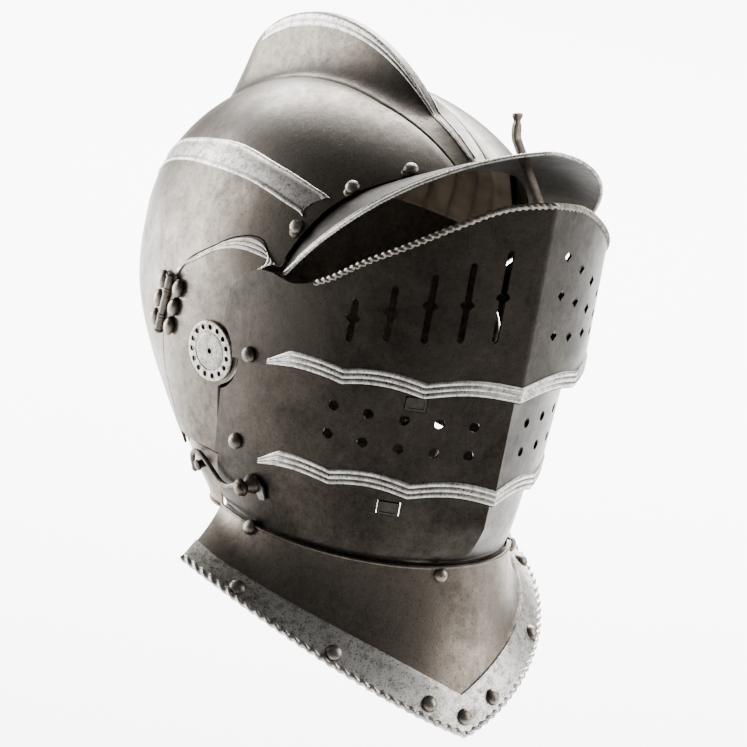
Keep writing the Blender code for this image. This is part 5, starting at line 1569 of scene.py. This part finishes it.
def rounded_box(width, height, corner, steps=4):
    """Outline of a rectangle with round corners."""
    outline = []
    for cx, cy, start in ((1, 1, 0), (-1, 1, 0.5), (-1, -1, 1), (1, -1, 1.5)):
        for i in range(steps + 1):
            a = math.pi * (start + 0.5 * i / steps)
            outline.append((cx * (width / 2 - corner) + corner * math.cos(a),
                            cy * (height / 2 - corner) + corner * math.sin(a)))
    return outline


def lofted(name, place, levels, finish, body, nodes=(), angle=40):
    """A closed loft: levels are (outline, z), from the back to the front."""
    mesh = bmesh.new()
    rings = [[mesh.verts.new(place @ Vector((x, y, z))) for x, y in outline] for outline, z in levels]
    close_rings(mesh, rings)
    data = bpy.data.meshes.new(name)
    mesh.to_mesh(data)
    mesh.free()
    return seat(plain(add(name, data), finish, angle), body, *nodes)


def make_catch(which):
    place = catch_frame(which)
    body = f"{which}_catch"
    levels = []
    for width, height, z in ((CATCH_WIDTH, CATCH_HEIGHT, -BUTTON_DEPTH), (CATCH_WIDTH, CATCH_HEIGHT, 0.25 * MM),
                             (CATCH_WIDTH - 0.5 * MM, CATCH_HEIGHT - 0.5 * MM, CATCH_PROUD),
                             (CATCH_WIDTH - 3 * MM, CATCH_HEIGHT - 3 * MM, CATCH_PROUD),
                             (CATCH_WIDTH - 3.4 * MM, CATCH_HEIGHT - 3.4 * MM, 0.1 * MM)):
        levels.append((rounded_box(width, height, 0.8 * MM), z))
    lofted(f"{which}_catch_button", place, levels, spring_steel, body, [f"{which}_catch"])
    front = -BUTTON_DEPTH - TOUCH
    low = 4 * MM - LEAF_SPRING_LENGTH
    side = [(4 * MM, front), (4 * MM, front - LEAF_SPRING), (low, front - LEAF_SPRING), (low, -FOOT_FRONT),
            (low + 4 * MM, -FOOT_FRONT), (low + 4 * MM, front)]
    along = place @ Matrix(((0, 0, 1, 0), (1, 0, 0, 0), (0, 1, 0, 0), (0, 0, 0, 1)))
    lofted(f"{which}_leaf_spring", along, [(side, -4 * MM), (side, 4 * MM)], spring_steel, body,
           [f"{which}_catch_spring"])


make_catch("upper")
make_catch("lower")

# %% [markdown]
# ## The collar
# The gorget plate spreads from the neck to a point on the chest. A bright border strip is riveted along
# its edge, and the edge itself is turned over and roped.

# %% Collar plate and border strip
GORGET_EDGE = (
    (0.0, -0.168, -0.2245), (0.055, -0.160, -0.2060), (0.113, -0.112, -0.1685), (0.116, -0.040, -0.157),
)
BORDER_START, BORDER_THICKNESS, BORDER_RIVET_DOWN, NECK_RIVET_DOWN = 0.76, 1.0 * MM, 0.885, 0.055
BORDER_RIVETS = (-0.80, -0.47, -0.14, 0.0, 0.14, 0.47, 0.80)
NECK_RIVETS = (-0.80, -0.08, 0.45, 0.80)


def gorget_point(share, down):
    """down is 0 at the neck ring and 1 at the pointed lower edge."""
    neck = neck_point(share, NECK_Z - 1.2 * MM)
    neck += Vector((neck.x, neck.y - NECK_CENTRE_Y, 0)).normalized() * 2.6 * MM
    edge = bezier(GORGET_EDGE, abs(share))
    edge.x = math.copysign(edge.x, share)
    control = neck.lerp(edge, 0.22)
    control.z = neck.z + (edge.z - neck.z) * 0.52
    return neck * (1 - down) ** 2 + control * (2 * down * (1 - down)) + edge * down ** 2


def gorget_normal(share, down):
    a = gorget_point(share + 0.01, down) - gorget_point(share - 0.01, down)
    b = gorget_point(share, down + 0.01) - gorget_point(share, down - 0.01)
    normal = a.cross(b).normalized()
    outward = Vector((normal.x * math.copysign(1, share) if share else 0, -normal.y, normal.z))
    return normal if normal.z > 0 or outward.y > 0 and normal.z > -0.1 else -normal


def outside_gorget(point):
    return Vector((point.x, point.y + 0.05, 0.08))


collar_rows = [[gorget_point(s, down) for s in spread(-1, 1, 161)] for down in spread(0, 1, 30)]
seat(plain(plate("collar_plate", collar_rows, outside_gorget), collar_steel), "root", "gorget")

def strip_start(share):
    """The strip is widest halfway along each side and narrows to the point in front."""
    return BORDER_START - 0.10 * math.sin(math.pi * min(1, abs(share) * 1.1)) - 0.04 * abs(share)


strip_rows, strip_wear = [], []
for across in spread(0, 1, 11):
    row = []
    for s in spread(-1, 1, 161):
        down = strip_start(s) + (0.995 - strip_start(s)) * across
        lift = BORDER_THICKNESS * (1 if across > 0.05 else 0.75) + TOUCH
        row.append(gorget_point(s, down) + gorget_normal(s, down) * lift)
    strip_rows.append(row)
    strip_wear.append([1.0 if 0.08 < across < 0.92 else 0.7] * 161)
strip = plate("collar_border_strip", strip_rows, outside_gorget, BORDER_THICKNESS, strip_wear)
seat(plain(strip, border_steel), "root", "gorget_border")

edge = [gorget_point(s, 0.985) + gorget_normal(s, 0.98) * 0.2 * MM for s in spread(-0.998, 0.998, 220)]
rope("collar_rope", edge, "root", radius=1.9 * MM, pitch=13 * MM)
neck_roll = [gorget_point(s, 0.012) + gorget_normal(s, 0.02) * 0.1 * MM for s in spread(-0.998, 0.998, 160)]
rope("collar_neck_roll", neck_roll, "root", collar_steel, 1.0 * MM, 9 * MM, 0.0, 0.0, 2.5 * MM)

strip_top = BORDER_THICKNESS + TOUCH
border_places = [(gorget_point(s, BORDER_RIVET_DOWN) + gorget_normal(s, BORDER_RIVET_DOWN) * strip_top,
                  gorget_normal(s, BORDER_RIVET_DOWN)) for s in BORDER_RIVETS]
border_nodes = [f"border_rivet_{n}" for n in range(1, 8)]
rivets("collar_border_rivets", border_places, "root", border_nodes, 4.7 * MM, 3.3 * MM)
neck_places = [(gorget_point(s, NECK_RIVET_DOWN), gorget_normal(s, NECK_RIVET_DOWN)) for s in NECK_RIVETS]
neck_nodes = [f"neck_rivet_{n}" for n in range(1, 5)]
rivets("collar_neck_rivets", neck_places, "root", neck_nodes, 4.2 * MM, 3.4 * MM)

# %% [markdown]
# ## Nape band and latch
# A band closes the neck behind the cheeks. A wrought hook, pivoted on the buffe, drops over a stud on
# that band. A hook forged from bar has a round section that swells at its eye and its ball end, so it
# is a sweep with a radius that changes along a smooth line.

# %% Nape band
NAPE_TOP_Z, NAPE_LOW_Z, NAPE_FRONT_Y, NAPE_INSET = -106.5 * MM, -138 * MM, -19 * MM, PLATE + 0.8 * MM


def nape_point(share, down):
    z = NAPE_TOP_Z + (NAPE_LOW_Z - NAPE_TOP_Z) * down
    width, back, front, centre = head_section(z)
    limit = math.acos((NAPE_FRONT_Y - centre) / front) if NAPE_FRONT_Y < centre else math.pi / 2
    return head_at(share * limit, z, -NAPE_INSET)


nape_rows = [[nape_point(s, down) for s in spread(-1, 1, 121)] for down in spread(0, 1, 16)]
nape = plate("nape_band", nape_rows, lambda p: Vector((p.x, p.y + 0.03, 0)))
seat(plain(nape, collar_steel), "root", "nape_plate")
nape_edge = [nape_point(s, 0.99) for s in spread(-0.995, 0.995, 120)]
rope("nape_rolled_edge", nape_edge, "root", collar_steel, 1.2 * MM, 9 * MM, 0.0, 0.0, 2.5 * MM)

# %% Hook, pivot, stud and foot plate
HOOK_PIVOT_Y, HOOK_PIVOT_Z, HOOK_LEAN = -53.5 * MM, -109.5 * MM, (-1.0, 0.13, -0.38)
HOOK_THICKNESS, HOOK_STANDOFF, HOOK_PIN = 3 * MM, 6.3 * MM, 2 * MM
HOOK_LINE = ((-1, 0), (-6, -0.5), (-12.2, -3.2), (-18, -5.8), (-24, -5.6), (-29, -3), (-35, 1), (-41.5, 4.2),
             (-47, 4.6), (-51.5, 2.2), (-53.2, -2.5), (-52.4, -8))
HOOK_STUD, STUD_RADIUS = (-46.5, -3.6), 3.2 * MM


def hook_frame():
    """z points out of the helmet, x to the front and y up the plate."""
    down = 1 + (HOOK_PIVOT_Z - CHIN_Z) / (NECK_Z - CHIN_Z)
    sides = [bevor_point(-share, down) for share in spread(0.7, 1, 61)]
    return frame_at(min(sides, key=lambda p: abs(p.y - HOOK_PIVOT_Y)), HOOK_LEAN)


def smooth_line(points, per_span=5):
    """A smooth curve through flat points."""
    stations = [(i, x, y) for i, (x, y) in enumerate(points)]
    return [through(stations, i / per_span) for i in range((len(points) - 1) * per_span + 1)]


def make_hook():
    place = hook_frame()
    middle_z = HOOK_STANDOFF + TOUCH + HOOK_THICKNESS / 2
    line = [Vector((x, y)) * MM for x, y in smooth_line(HOOK_LINE)]
    mesh = bmesh.new()
    rings = []
    for i, point in enumerate(line):
        way = (line[min(i + 1, len(line) - 1)] - line[max(i - 1, 0)]).normalized()
        across = Vector((-way.y, way.x))
        half = (1.75 - 0.35 * math.sin(math.pi * i / (len(line) - 1))) * MM
        ring = []
        for k in range(14):
            a = 2 * math.pi * k / 14
            spot = point + across * half * math.cos(a)
            height = middle_z + HOOK_THICKNESS * 0.48 * math.sin(a)
            ring.append(mesh.verts.new(place @ Vector((spot.x, spot.y, height))))
        rings.append(ring)
    close_rings(mesh, rings)
    data = bpy.data.meshes.new("hook")
    mesh.to_mesh(data)
    mesh.free()
    seat(plain(add("wrought_hook", data), rivet_steel, 60), "latch_hook", "latch_hook")
    eye = [(HOOK_PIN + 0.2 * MM, -1.4), (4.6 * MM, -1.5), (5.2 * MM, -0.7), (5.2 * MM, 0.7), (4.6 * MM, 1.5),
           (HOOK_PIN + 0.2 * MM, 1.4), (HOOK_PIN + 0.2 * MM, -1.4)]
    turned("hook_eye", place @ Matrix.Translation((line[0].x, line[0].y, middle_z)),
           [(r, z * MM) for r, z in eye], "latch_hook", rivet_steel, 30)
    ball = [(2.35 * MM * math.sin(a), -1.6 * MM * math.cos(a)) for a in spread(0, math.pi, 11)]
    turned("hook_ball", place @ Matrix.Translation((line[-1].x, line[-1].y, middle_z)), ball, "latch_hook",
           rivet_steel, 20)


STUD_DEPTH = 12 * MM


def make_latch_fixings():
    place = hook_frame()
    head = HOOK_STANDOFF + 2 * TOUCH + HOOK_THICKNESS
    dome_line = [(4 * MM * math.cos(a), 2.4 * MM * math.sin(a)) for a in spread(0, math.pi / 2, 8)]
    turned("latch_pivot_pin", place @ Matrix.Translation((0, 0, head)),
           [(0, -head + 0.7 * MM), (HOOK_PIN, -head + 0.7 * MM), (HOOK_PIN, 0), (3.9 * MM, 0)] + dome_line,
           "root", rivet_steel, 28, ["latch_pivot"])
    washer = [(HOOK_PIN, 0.5), (5.5 * MM, 0.5), (5.7 * MM, 2.2), (3.4 * MM, HOOK_STANDOFF / MM - 0.3),
              (HOOK_PIN, HOOK_STANDOFF / MM - 0.3), (HOOK_PIN, 0.5)]
    turned("latch_boss", place, [(r, z * MM) for r, z in washer], "root", rivet_steel, 28)
    stud_x, stud_y = HOOK_STUD
    top = place @ Vector((stud_x * MM, stud_y * MM, HOOK_STANDOFF + HOOK_THICKNESS + 0.8 * MM))
    normal = place.to_3x3() @ Vector((0, 0, 1))
    stem = STUD_RADIUS * 0.8
    profile = [(0, -STUD_DEPTH), (stem, -STUD_DEPTH), (STUD_RADIUS * 0.75, -2.2 * MM),
               (STUD_RADIUS, -1.4 * MM), (STUD_RADIUS, -0.4 * MM), (stem, 0), (0, 0)]
    turned("latch_stud_post", frame_at(top, normal), profile, "root", spring_steel, 24, ["latch_stud"])
    base = [(-7, 3), (3, 5), (9, 1), (10, -7), (4, -9), (1, -5), (-8, -3)]
    outline = [(x * MM, y * MM) for x, y in base]
    lofted("latch_foot_plate", place @ Matrix.Translation((0, 0, -0.4 * MM)),
           [(outline, 0), (outline, 1.0 * MM)], rivet_steel, "root")


make_hook()
make_latch_fixings()

# %% [markdown]
# ## The padded lining
# A quilted linen cap spaces the steel off the head. It is one sheet of fixed area stuffed between its
# sewn channels, so it is modelled as a wall whose inner face swells between the seams. Cloth
# simulation isn't needed: the steel holds the cap, so only the swelling between seams shows.

# %% Linen and the cap
def linen():
    made = bpy.data.materials.new("quilted_linen_cap")
    made.use_nodes = True
    tree = made.node_tree
    shader = tree.nodes["Principled BSDF"]
    place = tree.nodes.new("ShaderNodeTexCoord").outputs["Object"]
    stain = tree.nodes.new("ShaderNodeTexNoise")
    stain.inputs["Scale"].default_value = 30
    stain.inputs["Detail"].default_value = 6
    tree.links.new(place, stain.inputs["Vector"])
    ramp = tree.nodes.new("ShaderNodeValToRGB")
    ramp.color_ramp.elements[0].position, ramp.color_ramp.elements[0].color = 0.3, (0.10, 0.075, 0.05, 1)
    ramp.color_ramp.elements[1].position, ramp.color_ramp.elements[1].color = 0.7, (0.24, 0.19, 0.13, 1)
    tree.links.new(stain.outputs["Fac"], ramp.inputs["Fac"])
    tree.links.new(ramp.outputs["Color"], shader.inputs["Base Color"])
    weave = tree.nodes.new("ShaderNodeTexNoise")
    weave.inputs["Scale"].default_value = 1400
    tree.links.new(place, weave.inputs["Vector"])
    bump = tree.nodes.new("ShaderNodeBump")
    bump.inputs["Strength"].default_value = 0.6
    bump.inputs["Distance"].default_value = 0.4 * MM
    tree.links.new(weave.outputs["Fac"], bump.inputs["Height"])
    tree.links.new(bump.outputs["Normal"], shader.inputs["Normal"])
    shader.inputs["Roughness"].default_value = 0.95
    return made


LINING, LINING_BACK, CHANNELS = 7 * MM, 6 * MM, 26


def make_lining():
    inset = PEAK_INSET + PLATE + 3 * TOUCH
    width, depth, height = BOWL_WIDTH - inset, BOWL_DEPTH - inset, BOWL_HEIGHT - inset
    shares = spread(-1, 1, 209)

    def wall(level, s, inner):
        less = inner
        z = (height - less) * math.cos(level)
        centre = BOWL_CENTRE_Y - BOWL_LEAN * z
        front = (brow_y(z) + FLANGE + LINING_BACK - centre) / ((depth - less) * math.sin(level))
        limit = math.acos(max(-1, front))
        return Vector(((width - less) * math.sin(level) * math.sin(limit * s),
                       centre + (depth - less) * math.sin(level) * math.cos(limit * s), z))

    levels = spread(math.radians(4), math.radians(84), 40)
    rows = [[wall(level, s, 0.0) for s in shares] for level in levels]
    for level in reversed(levels):
        edge = min(1.0, (math.radians(84) - level) * 9, (level - math.radians(4)) * 9)
        row = []
        for s in shares:
            puff = abs(math.sin(math.pi * CHANNELS * (s + 1) / 2)) ** 0.55
            ends = min(1.0, (1 - abs(s)) * 30)
            row.append(wall(level, s, LINING * (0.35 + 0.65 * puff * max(0, edge) * ends)))
        rows.append(row)
    data = sheet_mesh("lining", rows, closed=True)
    mesh = bmesh.new()
    mesh.from_mesh(data)
    bmesh.ops.holes_fill(mesh, edges=[e for e in mesh.edges if e.is_boundary])
    bmesh.ops.recalc_face_normals(mesh, faces=mesh.faces)
    mesh.to_mesh(data)
    mesh.free()
    cap = seat(plain(add("quilted_lining", data), linen(), 70), "root", "lining")


make_lining()

# %% [markdown]
# ## Studio
# The helmet hangs as if worn, over a pale floor. Metal shows what surrounds it, so the light is a few
# large soft panels with dark between them: one behind and left of the helmet for its bright left edge,
# one to the right for the far side of the keel, and one high for the crown.

# %% Floor, lights and camera
AIM = Vector((0.00175, -0.03876, -0.05713))
CAMERA_RIGHT = Vector((0.75531, -0.63131, 0.17595))
CAMERA_UP = Vector((0.06106, 0.33510, 0.94020))
CAMERA_FORWARD = Vector((0.65252, 0.69940, -0.29166))
CAMERA_DISTANCE, FRAME_WIDTH = 6.0, 0.415


def make_floor():
    size, z = 30.0, -0.75
    data = bpy.data.meshes.new("floor")
    corners = [(-size, -size, z), (size, -size, z), (size, size, z), (-size, size, z)]
    data.from_pydata(corners, [], [(0, 1, 2, 3)])
    floor = add("studio_floor", data)
    paint = bpy.data.materials.new("pale_floor")
    paint.use_nodes = True
    shader = paint.node_tree.nodes["Principled BSDF"]
    shader.inputs["Base Color"].default_value = (0.93, 0.93, 0.925, 1)
    shader.inputs["Roughness"].default_value = 0.8
    data.materials.append(paint)


def softbox(name, away, size, power, tint=(1, 1, 1)):
    """away is (right, up, back) from the aim in the camera's own directions, in metres."""
    lamp = bpy.data.lights.new(name, "AREA")
    lamp.shape, lamp.size, lamp.size_y = "RECTANGLE", size[0], size[1]
    lamp.energy, lamp.color = power, tint
    thing = bpy.data.objects.new(name, lamp)
    bpy.context.scene.collection.objects.link(thing)
    spot = AIM + CAMERA_RIGHT * away[0] + CAMERA_UP * away[1] - CAMERA_FORWARD * away[2]
    thing.matrix_world = frame_at(spot, spot - AIM, (0.01, 0, 1))
    return thing


def set_world(brightness):
    world = bpy.data.worlds.new("studio_air")
    world.use_nodes = True
    world.node_tree.nodes["Background"].inputs["Color"].default_value = (1, 0.99, 0.98, 1)
    world.node_tree.nodes["Background"].inputs["Strength"].default_value = brightness
    bpy.context.scene.world = world


def set_camera():
    lens = bpy.data.cameras.new("camera")
    lens.sensor_width = 36
    lens.lens = 36 * CAMERA_DISTANCE / FRAME_WIDTH
    lens.clip_start, lens.clip_end = 0.1, 200
    camera = bpy.data.objects.new("camera", lens)
    bpy.context.scene.collection.objects.link(camera)
    turn = Matrix((CAMERA_RIGHT, CAMERA_UP, -CAMERA_FORWARD)).transposed().to_4x4()
    camera.matrix_world = Matrix.Translation(AIM - CAMERA_FORWARD * CAMERA_DISTANCE) @ turn
    bpy.context.scene.camera = camera


make_floor()
softbox("left_rear_panel", (-1.7, 0.55, -0.75), (1.5, 1.7), 80)
softbox("right_panel", (1.9, 0.35, 0.0), (1.2, 1.6), 30)
sky = softbox("floor_wash", (0.0, 1.0, -2.6), (3.0, 3.0), 720)
sky.matrix_world = Matrix.Translation((1.9, 2.0, 1.2))
set_world(0.08)
set_camera()
